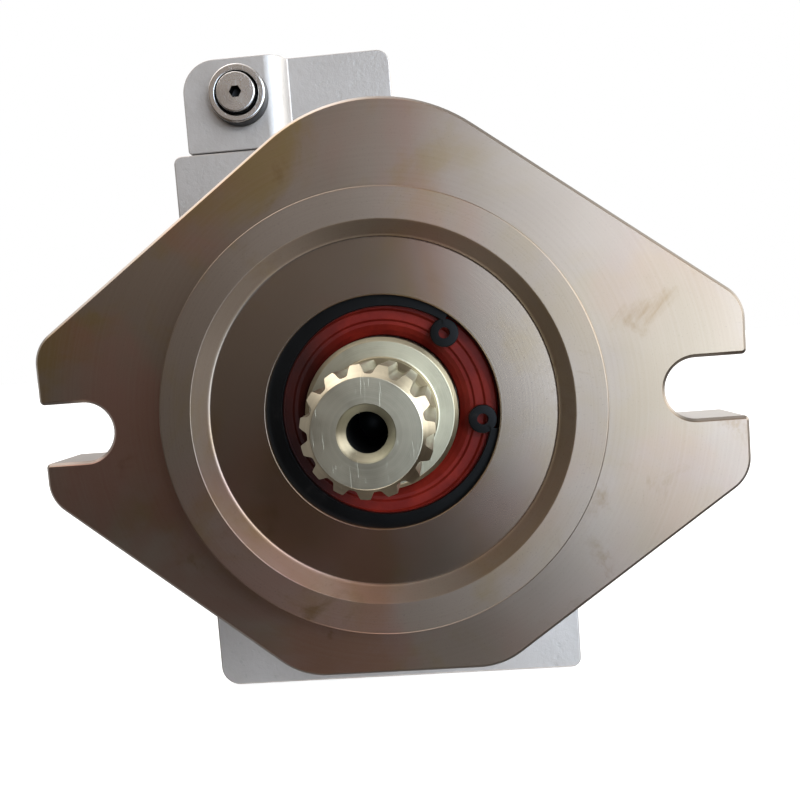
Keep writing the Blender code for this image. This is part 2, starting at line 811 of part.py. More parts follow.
def make_swashplate():
    swash = cylinder("swashplate", SWASH_RADIUS, (0, SWASH_FRONT, 0), (0, SWASH_FACE, 0), 27)
    for side in (-1, 1):
        near, far = sorted((side * CRADLE_IN, side * CRADLE_OUT))
        ends = (near, TILT_Y, 0), (far, TILT_Y, 0)
        runner = cylinder("runner", CRADLE_RADIUS, *ends, sides=28)
        band = box("runner_band", (near - 0.001, 0, -CRADLE_HALF), (far + 0.001, 0.055, CRADLE_HALF))
        combine(as_tool(runner), "INTERSECT", [band])
        join(swash, runner)
        shell_radius = CRADLE_RADIUS + GAP
        shell_outline = [
            (shell_radius, near),
            (shell_radius + CRADLE_SHELL, near),
            (shell_radius + CRADLE_SHELL, far),
            (shell_radius, far),
        ]
        name = "cradle_bearing_" + ("left" if side < 0 else "right")
        shell = turned(name, shell_outline, steps=28, at=(0, TILT_Y, 0), along=(1, 0, 0))
        keep = box("shell_band", (near - 0.001, 0, -CRADLE_HALF), (far + 0.001, 0.055, CRADLE_HALF))
        combine(shell, "INTERSECT", [keep])
        show(shell, BRONZE)
    for side, tip in ((1, 0.065), (-1, 0.070)):
        levels = sorted((side * 0.030, side * 0.046))
        root = (-ARM_HALF, 0.0525, levels[0]), (ARM_HALF, SWASH_FACE - 0.0003, levels[1])
        levels = sorted((side * 0.0434, side * 0.0470))
        web = (-ARM_HALF, 0.057, levels[0]), (ARM_HALF, ARM_BACK - 0.0005, levels[1])
        levels = sorted((side * 0.0436, side * tip))
        lever = (-ARM_HALF, ARM_FRONT, levels[0]), (ARM_HALF, ARM_BACK, levels[1])
        join(swash, box("arm_root", *root), box("arm_web", *web), box("arm_lever", *lever))
    hole = (0, SWASH_FRONT - CUT_PAST, 0), (0, SWASH_FACE + CUT_PAST, 0)
    cut(swash, cylinder("swash_hole", 0.0205, *hole, 20))
    show(swash, STEEL)


def make_control_pistons():
    front = ARM_BACK + GAP
    stroke = [(0, front), (0.0080, front), (0.0100, front + 0.0020), (0.0100, 0.1215)]
    stroke += [(0.0095, 0.1220), (0, 0.1220)]
    show(turned("stroke_piston", stroke, steps=16, at=(0, 0, CONTROL_Z)), STEEL)
    bias = [(0, front), (0.0122, front), (0.0122, front + 0.0037), (0.0070, front + 0.0037)]
    bias += [(0.0070, 0.1100), (0, 0.1100)]
    show(turned("bias_piston", bias, steps=16, at=(0, 0, BIAS_Z)), STEEL)
    show(coil("bias_spring", 0.0102, 0.0016, 0.0845, 0.1520, 6, z=BIAS_Z), STEEL)
    screw = cylinder("stroke_stop_screw", 0.0050, (0, 0.148, CONTROL_Z), (0, 0.232, CONTROL_Z), 12)
    cut(screw, hex_socket("stop_socket", 0.0029, (0, 0.227, CONTROL_Z), (0, 0.233, CONTROL_Z)))
    show(screw, DARK)
    nut = cylinder("stroke_stop_nut", 0.0098, (0, 0.2177, CONTROL_Z), (0, 0.2250, CONTROL_Z), 6)
    past = (0, 0.2160, CONTROL_Z), (0, 0.2270, CONTROL_Z)
    show(cut(nut, cylinder("nut_hole", 0.0053, *past, 12)), DARK)


# --- pressure compensator -------------------------------------------------------------------------


def spool_line(y):
    return (SPOOL_X, y, SPOOL_Z)


def front_shoulder():
    """What is taken off the block's front, right of the adjuster, down to a rounded shoulder."""
    start, end = -math.pi / 2, -math.asin(1 - (SHOULDER_BACK - VALVE_FRONT) / SHOULDER_RADIUS)
    outline = [(VALVE_RIGHT + CUT_PAST, SHOULDER_BACK), (VALVE_RIGHT + CUT_PAST, VALVE_FRONT - CUT_PAST)]
    outline.append((SHOULDER_LEFT, VALVE_FRONT - CUT_PAST))
    for x, y in arc(SHOULDER_RADIUS, start, end, 6):
        outline.append((SHOULDER_LEFT + x, VALVE_FRONT + SHOULDER_RADIUS + y))
    low, high = VALVE_BOTTOM - CUT_PAST, VALVE_TOP + CUT_PAST
    tool = prism("front_shoulder", outline, low, high)
    tool.rotation_euler = (0, 0, 0)
    tool.location = (0, 0, (low + high) / 2)
    return tool


def make_valve_block():
    corners = [
        (VALVE_LEFT, VALVE_BOTTOM, 0),
        (VALVE_RIGHT, VALVE_BOTTOM, 0),
        (VALVE_RIGHT, VALVE_TOP, 0.004),
        (VALVE_LEFT, VALVE_TOP, 0.010),
    ]
    block = prism("control_valve_block", rounded(corners), VALVE_FRONT, VALVE_BACK)
    bore = turned(
        "spool_bore",
        [
            (0, VALVE_FRONT - CUT_PAST),
            (0.0079, VALVE_FRONT - CUT_PAST),
            (0.0079, 0.0723),
            (0.0070, 0.0723),
            (0.0070, 0.1060),
            (0.0053, 0.1060),
            (0.0053, 0.1180),
            (0.0079, 0.1180),
            (0.0079, VALVE_BACK + CUT_PAST),
            (0, VALVE_BACK + CUT_PAST),
        ],
        steps=16,
        at=spool_line(0),
    )
    cut(block, bore, front_shoulder())
    for x, y in VALVE_BOLTS:
        top = (x, y, VALVE_TOP + CUT_PAST)
        low = (x, y, VALVE_BOTTOM - CUT_PAST)
        cut(block, cylinder("valve_bolt_hole", SMALL_BOLT_RADIUS + GAP, low, top, 10))
        sink = (x, y, VALVE_TOP - SMALL_BOLT_SINK)
        cut(block, cylinder("valve_bolt_sink", 0.0056, sink, top, 12))
    show(block, CAST)


def make_valve_bolts():
    for i, (x, y) in enumerate(VALVE_BOLTS, 1):
        seat = (x, y, VALVE_TOP - SMALL_BOLT_SINK + GAP)
        length = seat[2] - 0.0708
        name = f"valve_bolt_{i}"
        socket_screw(name, 0.0050, 0.0060, SMALL_BOLT_RADIUS, length, seat, (0, 0, -1))


def make_adjuster():
    """The pressure adjusting screw, its lock ring and sleeve, and the seat that it pushes."""
    head, stem = 0.0060, 0.0040
    head_front, head_back = 0.0543, 0.0600
    outline = [(0, head_front), (head - 0.0005, head_front), (head, head_front + 0.0005)]
    outline += [(head, head_back), (stem, head_back), (stem, 0.0790), (0, 0.0790)]
    screw = turned("pressure_adjusting_screw", outline, steps=20, at=spool_line(0))
    socket = spool_line(head_front + 0.0035), spool_line(head_front - CUT_PAST)
    cut(screw, hex_socket("adjuster_socket", 0.0020, *socket))
    show(screw, STEEL)
    ring = [(0.0067, 0.0556), (0.0083, 0.0556), (0.0088, 0.0561), (0.0088, 0.0600), (0.0067, 0.0600)]
    show(turned("adjuster_lock_ring", ring, steps=20, at=spool_line(0)), STEEL)
    loose = stem + GAP
    sleeve = [(loose, 0.0616), (0.0076, 0.0616), (0.0076, 0.0720), (loose, 0.0720)]
    show(turned("adjuster_sleeve", sleeve, steps=14, at=spool_line(0)), STEEL)
    seat = [(0, 0.0793), (0.0066, 0.0793), (0.0066, 0.0822), (0.0030, 0.0822)]
    seat += [(0.0026, 0.0850), (0, 0.0850)]
    show(turned("compensator_spring_seat", seat, steps=14, at=spool_line(0)), STEEL)


def make_spool():
    spring = coil("compensator_spring", 0.0052, 0.0008, 0.0834, 0.1030, 5, x=SPOOL_X, z=SPOOL_Z)
    show(spring, STEEL)
    spool = [(0, 0.1042), (0.0064, 0.1042), (0.0064, 0.1057), (0.0050, 0.1057)]
    spool += [(0.0050, 0.1090), (0.0034, 0.1096), (0.0034, 0.1130), (0.0050, 0.1136)]
    spool += [(0.0050, 0.1172), (0, 0.1172)]
    show(turned("compensator_spool", spool, steps=14, at=spool_line(0)), STEEL)
    plug = [(0, 0.1190), (0.0076, 0.1190), (0.0076, 0.1263), (0.0092, 0.1263)]
    plug += [(0.0092, 0.1292), (0.0086, 0.1300), (0, 0.1300)]
    rear = turned("valve_rear_plug", plug, steps=14, at=spool_line(0))
    cut(rear, hex_socket("rear_plug_socket", 0.0034, spool_line(0.1250), spool_line(0.1310)))
    show(rear, DARK)


def make_drain_plug():
    outline = [(0, -0.0050), (0.0087, -0.0050), (0.0087, GAP), (0.0115, GAP)]
    outline += [(0.0115, 0.0036), (0.0105, 0.0045), (0, 0.0045)]
    place = (BODY_RIGHT, 0.110, 0.015)
    plug = turned("case_drain_plug", outline, steps=16, at=place, along=(1, 0, 0))
    inner = (BODY_RIGHT - 0.0010, *place[1:])
    outer = (BODY_RIGHT + 0.0060, *place[1:])
    show(cut(plug, hex_socket("drain_socket", 0.0046, inner, outer)), DARK)


make_housing()
make_gasket()
make_port_plate()
make_casing_bolts()
make_seal()
make_circlip()
make_bearings()
make_shaft()
make_cylinder_block()
make_pistons()
make_retainer()
make_valve_plate()
make_swashplate()
make_control_pistons()
make_valve_block()
make_valve_bolts()
make_adjuster()
make_spool()
make_drain_plug()
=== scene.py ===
"""The looks of the axial piston pump: castings, shaft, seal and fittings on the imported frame.

Metres, in the CAD's frame: the shaft's axis is Y with its end at -Y, and the origin is in the
plane of the flange's front face. Pieces that the eye reaches are built here at full fineness and
stand for their CAD nodes, and so is the compensator's spring, which has to shorten. The other
pieces inside stay as CAD made them and get finer materials.
"""

import json
import math

import bmesh
import bpy
from mathutils import Matrix, Vector


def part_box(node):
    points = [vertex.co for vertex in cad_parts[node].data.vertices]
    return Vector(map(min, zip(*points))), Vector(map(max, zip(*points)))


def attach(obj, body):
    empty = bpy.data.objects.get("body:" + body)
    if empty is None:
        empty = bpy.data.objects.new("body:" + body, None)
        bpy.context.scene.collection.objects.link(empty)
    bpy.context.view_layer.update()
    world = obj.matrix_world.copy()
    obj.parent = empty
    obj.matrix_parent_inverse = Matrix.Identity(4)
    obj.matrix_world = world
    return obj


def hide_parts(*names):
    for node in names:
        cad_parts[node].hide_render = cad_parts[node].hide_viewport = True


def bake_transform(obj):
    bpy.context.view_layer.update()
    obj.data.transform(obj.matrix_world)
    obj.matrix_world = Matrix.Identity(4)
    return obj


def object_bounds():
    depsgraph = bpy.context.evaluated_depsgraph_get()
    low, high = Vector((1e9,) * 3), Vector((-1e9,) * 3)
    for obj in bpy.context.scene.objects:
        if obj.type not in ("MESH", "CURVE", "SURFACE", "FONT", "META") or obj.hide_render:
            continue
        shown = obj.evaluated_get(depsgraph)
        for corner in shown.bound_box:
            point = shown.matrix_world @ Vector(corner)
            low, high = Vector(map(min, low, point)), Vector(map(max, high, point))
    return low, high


MM = 0.001
ROOT = "housing_group"
ROTOR = "rotating_group"

# Edges sharper than SHARP aren't shaded smooth, and those sharper than RIM_ANGLE can be rounded.
SHARP = math.radians(32)
RIM_ANGLE = math.radians(50)

# How many sides a turned piece has round it: a large one, one of middling size, and a small one.
TURN_STEPS = 160
MIDDLE_STEPS = 96
SMALL_STEPS = 64

# The photograph's camera, in the CAD's frame.
CAMERA_PLACE = (0.01435, -0.18661, 0.01580)
CAMERA_TURNS = (("Z", 3.177), ("X", -4.143), ("Y", 4.379))
CAMERA_LENS = 35.657

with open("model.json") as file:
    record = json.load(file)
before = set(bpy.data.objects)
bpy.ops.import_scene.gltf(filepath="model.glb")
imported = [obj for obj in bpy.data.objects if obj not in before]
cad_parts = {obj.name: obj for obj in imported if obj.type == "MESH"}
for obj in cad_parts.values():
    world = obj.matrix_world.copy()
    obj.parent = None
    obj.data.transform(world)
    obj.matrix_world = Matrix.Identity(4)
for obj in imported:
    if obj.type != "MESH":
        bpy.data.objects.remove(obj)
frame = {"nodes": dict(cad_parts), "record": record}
BOX_AT_LOAD = [list(corner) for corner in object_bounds()]
NODES = frame["nodes"]


# --- shapes ---------------------------------------------------------------------------------------


def filleted(corners, step=6.0):
    """A closed outline whose corners (u, v, radius) become arcs, inside or outside corners alike."""
    points = []
    count = len(corners)
    for i, (u, v, radius) in enumerate(corners):
        here = Vector((u, v))
        if radius == 0:
            points.append((u, v))
            continue
        before = (Vector(corners[i - 1][:2]) - here).normalized()
        after = (Vector(corners[(i + 1) % count][:2]) - here).normalized()
        half = before.angle(after) / 2
        centre = here + (before + after).normalized() * radius / math.sin(half)
        start = here + before * radius / math.tan(half) - centre
        way = 1 if before.cross(after) < 0 else -1
        turn = (math.pi - 2 * half) * way
        steps = max(2, round(math.degrees(abs(turn)) / step))
        for k in range(steps + 1):
            points.append(tuple(centre + Matrix.Rotation(turn * k / steps, 2) @ start))
    return points


def loose(name, data):
    """A new object with this data, linked to the scene."""
    thing = bpy.data.objects.new(name, data)
    bpy.context.scene.collection.objects.link(thing)
    return thing


def baked(thing):
    """The same object with its modifiers and its place applied to a fresh mesh."""
    bpy.context.view_layer.update()
    graph = bpy.context.evaluated_depsgraph_get()
    mesh = bpy.data.meshes.new_from_object(thing.evaluated_get(graph))
    mesh.transform(thing.matrix_world)
    name = thing.name
    bpy.data.objects.remove(thing, do_unlink=True)
    return loose(name, mesh)


def rounded(thing, width):
    """The same object with its sharp rims rounded."""
    bevel = thing.modifiers.new("rims", "BEVEL")
    bevel.width = width
    bevel.segments = 3
    bevel.limit_method = "ANGLE"
    bevel.angle_limit = RIM_ANGLE
    return baked(thing)


def facing(direction):
    """The turn that points Z in this direction."""
    return Vector(direction).to_track_quat("Z", "Y").to_euler()


def turned(name, outline, steps=TURN_STEPS, at=(0, 0, 0), along=(0, 1, 0)):
    """A solid turned about an axis.

    The outline's corners are (radius, distance along the axis) or (radius, distance, fillet).
    """
    corners = [(*point, 0) if len(point) == 2 else point for point in outline]
    points = filleted(corners, 15)
    twice_area = sum(a[0] * b[1] - b[0] * a[1] for a, b in zip(points, points[1:] + points[:1]))
    if twice_area > 0:
        points.reverse()
    solid_core = min(radius for radius, _ in points) == 0
    if solid_core:
        on_axis = [i for i, (radius, _) in enumerate(points) if radius == 0]
        first = next(i for i in on_axis if points[(i + 1) % len(points)][0] > 0)
        points = points[first:] + points[:first]
    mesh = bpy.data.meshes.new(name)
    edges = [(i, i + 1) for i in range(len(points) - 1)]
    if not solid_core:
        edges.append((len(points) - 1, 0))
    mesh.from_pydata([(radius, 0, height) for radius, height in points], edges, [])
    thing = loose(name, mesh)
    thing.location = at
    thing.rotation_euler = facing(along)
    screw = thing.modifiers.new("turn", "SCREW")
    screw.steps = steps
    screw.render_steps = steps
    screw.use_merge_vertices = True
    screw.merge_threshold = 0.00001
    return baked(thing)


def plate(name, outline, front, back, holes=(), edge=0.0, along="Y", chamfer=0.0):
    """A flat piece between two planes, with its rims rounded by edge, or cut off by a chamfer."""
    curve = bpy.data.curves.new(name, "CURVE")
    curve.dimensions = "2D"
    curve.fill_mode = "BOTH"
    curve.extrude = abs(back - front) / 2 - chamfer
    curve.bevel_depth = chamfer
    curve.bevel_resolution = 0
    curve.offset = -chamfer
    for loop in (outline, *holes):
        spline = curve.splines.new("POLY")
        spline.points.add(len(loop) - 1)
        for point, (u, v) in zip(spline.points, loop):
            point.co = (u, v, 0, 1)
        spline.use_cyclic_u = True
    thing = loose(name, curve)
    if along == "Y":
        thing.rotation_euler.x = math.pi / 2
        thing.location.y = (front + back) / 2
    else:
        thing.rotation_euler = (math.pi / 2, 0, math.pi / 2)
        thing.location.x = (front + back) / 2
    made = baked(thing)
    shape = bmesh.new()
    shape.from_mesh(made.data)
    bmesh.ops.remove_doubles(shape, verts=shape.verts, dist=1e-6)
    bmesh.ops.dissolve_limit(shape, angle_limit=0.001, verts=shape.verts, edges=shape.edges)
    bmesh.ops.recalc_face_normals(shape, faces=shape.faces)
    shape.to_mesh(made.data)
    shape.free()
    return rounded(made, edge) if edge else made


def rod(name, radius, start, end, sides=SMALL_STEPS, mouth=0.0):
    """A cylinder from start to end. With a mouth, it widens by that much over its last stretch."""
    start, end = Vector(start), Vector(end)
    length = (end - start).length
    outline = [(0, 0), (radius, 0), (radius, length), (0, length)]
    if mouth:
        outline[2:3] = [(radius, length - MM - mouth), (radius + mouth, length - MM)]
        outline[4:4] = [(radius + mouth, length)]
    return turned(name, outline, sides, start, end - start)


def combined(thing, operation, tools):
    """Cuts or joins with these tools, which are used up."""
    for tool in tools:
        step = thing.modifiers.new(operation.lower(), "BOOLEAN")
        step.operation = operation
        step.object = tool
    made = baked(thing)
    for tool in tools:
        bpy.data.objects.remove(tool, do_unlink=True)
    return made


def cut(thing, *tools):
    """The object less these tools, which are used up."""
    return combined(thing, "DIFFERENCE", tools)


def join(thing, *tools):
    """The object and these tools as one."""
    return combined(thing, "UNION", tools)


def ring_of(radius, count=TURN_STEPS):
    """A circle's points about the origin, the first one not repeated at the end."""
    angles = (math.tau * i / count for i in range(count))
    return [(radius * math.cos(a), radius * math.sin(a)) for a in angles]


def arc(radius, start, end, count):
    """An arc's points about the origin, with both ends."""
    angles = (start + (end - start) * i / count for i in range(count + 1))
    return [(radius * math.cos(a), radius * math.sin(a)) for a in angles]


def finish_piece(thing, finish, body=ROOT, stands_for=()):
    """Shades the piece, gives it its material, and makes it ride on its body, if one is named."""
    thing.data.shade_smooth()
    thing.data.set_sharp_from_angle(angle=SHARP)
    flat = thing.modifiers.new("flat_faces", "WEIGHTED_NORMAL")
    flat.keep_sharp = True
    thing.data.materials.clear()
    thing.data.materials.append(finish)
    if body:
        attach(thing, body)
    if stands_for:
        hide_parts(*stands_for)
    return thing


def refinish(thing, finish, is_chosen):
    """Gives another finish to the faces that pass a test of their middle and normal."""
    thing.data.materials.append(finish)
    for face in thing.data.polygons:
        if is_chosen(face.center, face.normal):
            face.material_index = 1


# --- materials ------------------------------------------------------------------------------------


class Finish:
    """A material's node tree, with a short way to add its nodes."""

    def __init__(self, name):
        self.material = bpy.data.materials.new(name)
        self.material.use_nodes = True
        self.tree = self.material.node_tree
        self.shader = self.tree.nodes["Principled BSDF"]
        self.place = self.add("ShaderNodeTexCoord").outputs["Object"]

    def add(self, kind, inputs=None, **settings):
        """A new node with these inputs and settings."""
        made = self.tree.nodes.new(kind)
        for name, value in settings.items():
            setattr(made, name, value)
        for name, value in (inputs or {}).items():
            self.feed(made.inputs[name], value)
        return made

    def feed(self, socket, value):
        """Links another node's output to the socket, or sets its number."""
        if isinstance(value, bpy.types.NodeSocket):
            self.tree.links.new(value, socket)
        else:
            socket.default_value = value

    def math(self, operation, a, b=0.0, c=0.0):
        """The result of a Math node."""
        made = self.add("ShaderNodeMath", operation=operation)
        for socket, value in zip(made.inputs, (a, b, c)):
            self.feed(socket, value)
        return made.outputs[0]

    def noise(self, scale, detail=3.0, roughness=0.55, place=None, distortion=0.0):
        """Noise from 0 to 1, with this many cells to a metre."""
        made = self.add(
            "ShaderNodeTexNoise",
            {"Vector": place or self.place, "Scale": scale, "Detail": detail},
        )
        made.inputs["Roughness"].default_value = roughness
        made.inputs["Distortion"].default_value = distortion
        return made.outputs["Fac"]

    def between(self, value, low, high):
        """0 below low and 1 above high, with a smooth step."""
        made = self.add("ShaderNodeMapRange", interpolation_type="SMOOTHSTEP")
        for name, number in (("Value", value), ("From Min", low), ("From Max", high)):
            self.feed(made.inputs[name], number)
        return made.outputs["Result"]

    def levels(self, value, low, high):
        """A value from 0 to 1 spread from low to high."""
        return self.math("MULTIPLY_ADD", value, high - low, low)

    def mix(self, share, first, second):
        """The first colour where the share is 0, and the second where it is 1."""
        made = self.add("ShaderNodeMix", data_type="RGBA")
        self.feed(made.inputs[0], share)
        for index, value in ((6, first), (7, second)):
            full = (*value, 1) if isinstance(value, tuple) else value
            self.feed(made.inputs[index], full)
        return made.outputs[2]

    def tint(self, colour, where, strength, other):
        """The colour with some of another one where the mask says."""
        return self.mix(self.math("MULTIPLY", where, strength), colour, other)

    def axes(self):
        """The place's x, y and z in the piece's own space."""
        return self.add("ShaderNodeSeparateXYZ", {"Vector": self.place}).outputs

    def stretched(self, turn, scale):
        """The place turned, then stretched."""
        made = self.add("ShaderNodeMapping", {"Vector": self.place})
        made.inputs["Rotation"].default_value = turn
        made.inputs["Scale"].default_value = scale
        return made.outputs[0]

    def radius_from(self, u=0.0, v=0.0):
        """Distance from an axis along Y through x = u, z = v."""
        x, _, z = self.axes()
        du, dv = self.math("SUBTRACT", x, u), self.math("SUBTRACT", z, v)
        total = self.math("ADD", self.math("MULTIPLY", du, du), self.math("MULTIPLY", dv, dv))
        return self.math("SQRT", total)

    def rings(self, scale, u=0.0, v=0.0):
        """Fine turning marks about an axis along Y."""
        line = self.add("ShaderNodeCombineXYZ", {"X": self.radius_from(u, v)})
        return self.noise(scale, 4.0, 0.7, line.outputs[0])

    def bump(self, height, strength, distance):
        """Makes the surface bumpy: distance is the depth, in metres, of a height of 1."""
        made = self.add("ShaderNodeBump", {"Height": height})
        made.inputs["Strength"].default_value = strength
        made.inputs["Distance"].default_value = distance
        self.tree.links.new(made.outputs[0], self.shader.inputs["Normal"])

    def done(self, colour, roughness, metallic):
        """The finished material."""
        for name, value in (("Base Color", colour), ("Roughness", roughness)):
            self.feed(self.shader.inputs[name], value)
        self.shader.inputs["Metallic"].default_value = metallic
        return self.material


# Where the recess's wall starts and ends, as radii from the shaft's axis.
WALL_FOOT = 0.0402
WALL_TOP = 0.0435


def machined_iron(name, marks, rough, rim_rough=0.0, wall_rough=0.0):
    """Turned brown-grey iron with olive, reddish and rusty stains. The olive and reddish stains fade
    out towards the right, which is painted light: the brightly lit side is left plainer and paler.

    The sides behind the flange's front face are greyer and clean. On the pilot, the rim and the
    recess's wall are rougher than the rest by the last two numbers.
    """
    f = Finish(name)
    cloudy = f.between(f.noise(9, 3, 0.5), 0.40, 0.70)
    colour = f.mix(cloudy, (0.230, 0.180, 0.140), (0.31, 0.255, 0.21))
    # The stains are real, but their weakening towards the right is a painted highlight for the
    # bright light on that side.
    stain_fade_for_highlight = f.levels(f.between(f.axes()[0], 0.045, -0.015), 0.25, 1.0)
    olive = f.between(f.noise(24, 5, 0.6, distortion=0.5), 0.46, 0.62)
    colour = f.tint(colour, f.math("MULTIPLY", olive, stain_fade_for_highlight), 0.9, (0.235, 0.165, 0.070))
    reddish = f.between(f.noise(15, 4, 0.55, distortion=0.5), 0.46, 0.62)
    colour = f.tint(colour, f.math("MULTIPLY", reddish, stain_fade_for_highlight), 0.75, (0.28, 0.15, 0.115))
    rust = f.between(f.noise(75, 6, 0.65, distortion=0.6), 0.56, 0.74)
    rust_area = f.between(f.noise(17, 2, 0.5), 0.48, 0.62)
    colour = f.tint(colour, f.math("MULTIPLY", rust, rust_area), 0.7, (0.15, 0.085, 0.03))
    on_side = f.between(f.axes()[1], 0.1 * MM, 0.4 * MM)
    colour = f.tint(colour, on_side, 0.75, (0.30, 0.275, 0.25))
    ring_marks = f.rings(marks)
    pores = f.between(f.noise(2600, 2), 0.60, 0.74)
    colour = f.tint(colour, f.between(ring_marks, 0.40, 0.62), 0.05, (0.42, 0.37, 0.32))
    colour = f.tint(colour, pores, 0.25, (0.09, 0.07, 0.055))
    ridges, pits = f.math("MULTIPLY", ring_marks, 0.7), f.math("MULTIPLY", pores, 0.4)
    f.bump(f.math("SUBTRACT", ridges, pits), 0.06, 0.1 * MM)
    spread = f.levels(f.noise(30, 4), *rough)
    if rim_rough or wall_rough:
        radius = f.radius_from()
        on_rim = f.between(radius, WALL_FOOT, WALL_FOOT + 0.8 * MM)
        spread = f.math("MULTIPLY_ADD", on_rim, rim_rough, spread)
        past_foot = f.between(radius, WALL_FOOT, WALL_FOOT + 0.3 * MM)
        past_top = f.between(radius, WALL_TOP - 0.3 * MM, WALL_TOP)
        on_wall = f.math("SUBTRACT", past_foot, past_top)
        spread = f.math("MULTIPLY_ADD", on_wall, wall_rough, spread)
    return f.done(colour, spread, 0.92)


def cast_silver():
    """Silver-grey casting with a sand-cast skin and handling marks."""
    f = Finish("cast_silver_fine")
    cloudy = f.between(f.noise(16, 4), 0.35, 0.7)
    colour = f.mix(cloudy, (0.38, 0.355, 0.335), (0.47, 0.445, 0.425))
    smudge = f.between(f.noise(45, 5, 0.6, distortion=0.8), 0.56, 0.75)
    colour = f.tint(colour, smudge, 0.35, (0.29, 0.27, 0.25))
    skin = f.noise(520, 4, 0.65)
    pits = f.between(f.noise(330, 3), 0.30, 0.42)
    pitted = f.mix(pits, (0.40, 0.38, 0.36), colour)
    colour = f.tint(pitted, f.between(skin, 0.35, 0.65), 0.4, colour)
    height = f.math("ADD", f.math("MULTIPLY", skin, 0.6), f.math("MULTIPLY", pits, 0.15))
    f.bump(height, 0.4, 0.35 * MM)
    return f.done(colour, f.levels(f.noise(80, 3), 0.36, 0.50), 0.6)


def milled_silver():
    """Bright milled faces on the castings, with the cutter's sweeping marks."""
    f = Finish("milled_silver")
    marks = f.noise(1.0, 3, 0.6, f.stretched((0.5, 0.4, 0.0), (60, 60, 1900)))
    colour = f.mix(f.between(marks, 0.35, 0.65), (0.46, 0.45, 0.43), (0.58, 0.57, 0.55))
    f.bump(marks, 0.12, 0.1 * MM)
    return f.done(colour, f.levels(f.noise(60, 3), 0.28, 0.42), 0.85)


def ground_steel(name, base, marks, rough=(0.22, 0.36), u=0.0, v=0.0):
    """Bright steel with turning marks about the axis at x = u, z = v, and short scratches."""
    f = Finish(name)
    darker = tuple(c * 0.80 for c in base)
    lighter = tuple(c * 1.18 for c in base)
    turning = f.rings(marks, u, v)
    colour = f.mix(f.between(f.noise(110, 4), 0.4, 0.68), base, darker)
    colour = f.tint(colour, f.between(turning, 0.42, 0.6), 0.35, lighter)
    lengths = f.noise(1.0, 2, 0.5, f.stretched((0, 0.5, 0), (3000, 300, 160)))
    scratch = f.between(lengths, 0.66, 0.72)
    colour = f.tint(colour, scratch, 0.5, lighter)
    height = f.math("ADD", f.math("MULTIPLY", turning, 0.5), f.math("MULTIPLY", scratch, -0.4))
    f.bump(height, 0.25, 0.08 * MM)
    return f.done(colour, f.levels(f.noise(140, 4), *rough), 1.0)


def black_oxide_and_shade():
    """Blackened steel, worn a little browner in patches. It is also painted shade inside the
    adjusting screw's socket and the shaft's centre hole, and on the adjuster ring's flank.
    """
    f = Finish("black_oxide_fine")
    worn = f.between(f.noise(190, 5, 0.65), 0.60, 0.78)
    colour = f.tint((0.003, 0.003, 0.003), worn, 0.5, (0.024, 0.021, 0.019))
    f.bump(f.noise(1200, 2), 0.15, 0.1 * MM)
    f.shader.inputs["Specular IOR Level"].default_value = 0.3
    return f.done(colour, f.levels(f.noise(90, 3), 0.26, 0.44), 0.6)


def seal_rubber():
    """Red-brown rubber with dust on it, and a painted shadow of the shaft that darkens its left
    side.
    """
    f = Finish("seal_rubber_fine")
    cloudy = f.between(f.noise(130, 4), 0.38, 0.66)
    colour = f.mix(cloudy, (0.085, 0.005, 0.003), (0.125, 0.009, 0.005))
    dust = f.between(f.noise(420, 5, 0.65), 0.62, 0.78)
    colour = f.tint(colour, dust, 0.25, (0.17, 0.05, 0.03))
    # Painted shadow: the left side, shaded by the shaft, is darkened to near black.
    painted_shadow_side = f.between(f.axes()[0], -0.005, -0.018)
    painted_shaft_shadow = f.math("MULTIPLY", painted_shadow_side, f.levels(f.noise(160, 3), 0.8, 1.0))
    colour = f.tint(colour, painted_shaft_shadow, 0.95, (0.010, 0.004, 0.003))
    moulding = f.rings(1500)
    height = f.math("ADD", f.math("MULTIPLY", moulding, 0.4), f.noise(900, 2))
    f.bump(height, 0.3, 0.12 * MM)
    f.shader.inputs["Specular IOR Level"].default_value = 0.15
    return f.done(colour, f.levels(f.noise(60, 3), 0.34, 0.52), 0.0)


def bronze():
    """Turned bearing bronze."""
    f = Finish("bronze_fine")
    cloudy = f.between(f.noise(90, 4), 0.38, 0.68)
    colour = f.mix(cloudy, (0.52, 0.35, 0.15), (0.40, 0.25, 0.10))
    f.bump(f.rings(2600), 0.2, 0.08 * MM)
    return f.done(colour, f.levels(f.noise(70, 3), 0.26, 0.42), 0.95)


def gasket_fibre():
    """Pressed grey-green fibre."""
    f = Finish("gasket_fibre_fine")
    colour = f.mix(f.noise(1500, 3), (0.05, 0.065, 0.055), (0.12, 0.14, 0.12))
    f.bump(f.noise(2200, 3), 0.4, 0.1 * MM)
    return f.done(colour, f.levels(f.noise(300, 2), 0.7, 0.85), 0.0)


FLANGE = machined_iron("flange_iron", 1300, (0.24, 0.36))
HUB = machined_iron("pilot_iron", 2100, (0.15, 0.24), 0.16, 0.26)
SILVER = cast_silver()
MILLED = milled_silver()
SHAFT_STEEL = ground_steel("shaft_steel_fine", (0.44, 0.40, 0.29), 2600, (0.28, 0.42))
TOOTH_STEEL = ground_steel("tooth_steel", (0.49, 0.44, 0.33), 1700, (0.24, 0.38))
ADJUSTER_X, ADJUSTER_Z = -0.0413, 0.0944
BRIGHT_STEEL = ground_steel(
    "bright_steel", (0.62, 0.61, 0.60), 2000, (0.2, 0.32), ADJUSTER_X, ADJUSTER_Z
)
INNER_STEEL = ground_steel("inner_steel", (0.52, 0.51, 0.49), 1800)
BLACK = black_oxide_and_shade()
RUBBER = seal_rubber()
BRONZE = bronze()
FIBRE = gasket_fibre()

